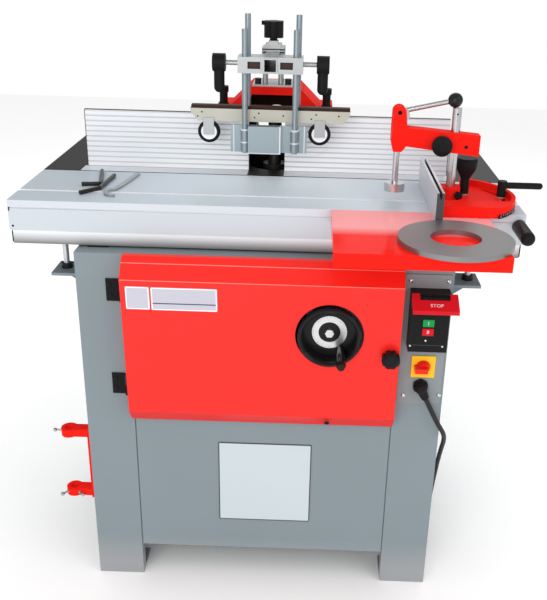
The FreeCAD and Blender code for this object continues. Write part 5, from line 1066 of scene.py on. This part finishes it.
def addTools():
    # hook spanner and two bent hexagon keys left lying on the sliding table
    half = tools["spannerThick"] / 2
    section = roundedRectangle(tools["spannerWidth"], 2 * half, tools["spannerCorner"], 3)
    path = smoothed(tools["spanner"], tools["top"] + half)
    narrow = np.interp(np.linspace(0, 1, len(path)), tools["taperPlaces"], tools["taperShares"])
    addPiece("hookSpanner", "sliding_table", "steel", keySteel, swept(path, section, narrow))
    section = circle(tools["keyRadius"], 6)
    for name, places in tools["keys"]:
        path = smoothed(places, tools["top"] + tools["keyRadius"])
        addPiece(name, "sliding_table", "steel", toolSteel, swept(path, section, np.ones(len(path))))


def addDetails():
    addDoorLabels()
    addFrontPlate()
    addControls()
    addGlandNut()
    addDial()
    addThumbScrews()
    addBar("hoodLip", "fence_hood", "red_paint", edgeRed, hoodLip)
    addScrews("boardScrews", "guard_board", trimBlack, board)
    addBar("topBoard", "guard_board", "board_laminate", darkEdgeStrip, topBoard)
    addScrews("hingeScrews", "cabinet", trimBlack, hinges)
    addDoorBuffer()
    addMitreScale()
    addMitreStar()
    addGaugeKnob()
    addHoles()
    addSliderEnds()
    addTools()


addDetails()
print("small pieces added")


studio = {
    "worldLight": 0.94, "mirrorLight": 0.42, "floorTone": 0.99, "floorRoughness": 0.9, "floorSpecular": 0.1,
    "floorSize": 12, "aim": (0, 0, 0.7),
    "lamps": (("key", 48, 2.4, (-0.9, -3.6, 1.9)), ("fill", 20, 2.6, (2.4, -1.8, 2.4)),
              ("back", 20, 2.4, (0.4, 2.8, 3.0))),
}


def addWorld():
    # white to the eye, a little dimmer as light, and dimmer still where it is mirrored
    world = bpy.data.worlds.new("studio")
    bpy.context.scene.world = world
    world.use_nodes = True
    tree = world.node_tree
    tree.nodes.clear()
    path = tree.nodes.new("ShaderNodeLightPath")
    seen = Wire(tree, path.outputs["Is Camera Ray"]) + Wire(tree, path.outputs["Is Transmission Ray"])
    mirrored = Wire(tree, path.outputs["Is Glossy Ray"])
    strength = studio["worldLight"] + (seen > 0.5) * (1 - studio["worldLight"])
    strength = strength + mirrored * (studio["mirrorLight"] - studio["worldLight"])
    inputs = {"Color": (1, 1, 1, 1), "Strength": strength}
    background = Finish.add(tree, "ShaderNodeBackground", {}, inputs)
    output = tree.nodes.new("ShaderNodeOutputWorld")
    tree.links.new(background.socket, output.inputs[0])


def addStudio():
    # pale floor and three soft lamps
    half = studio["floorSize"] / 2
    corners = [(-half, -half, 0), (half, -half, 0), (half, half, 0), (-half, half, 0)]
    mesh = bpy.data.meshes.new("floor")
    mesh.from_pydata(corners, [], [(0, 1, 2, 3)])
    floor = placed("floor", mesh)
    finish = Finish("paleFloor", (studio["floorTone"],) * 3, studio["floorRoughness"],
                    specular=studio["floorSpecular"])
    mesh.materials.append(finish.material)
    for name, power, size, place in studio["lamps"]:
        lamp = bpy.data.lights.new(name, "AREA")
        lamp.energy = power
        lamp.size = size
        item = placed(name, lamp)
        aim = Vector(studio["aim"]) - Vector(place)
        item.matrix_world = Matrix.Translation(place) @ aim.to_track_quat("-Z", "Y").to_matrix().to_4x4()
    bpy.context.scene.view_settings.view_transform = "Standard"


addWorld()
addStudio()
print("studio set")
bpy.context.view_layer.update()
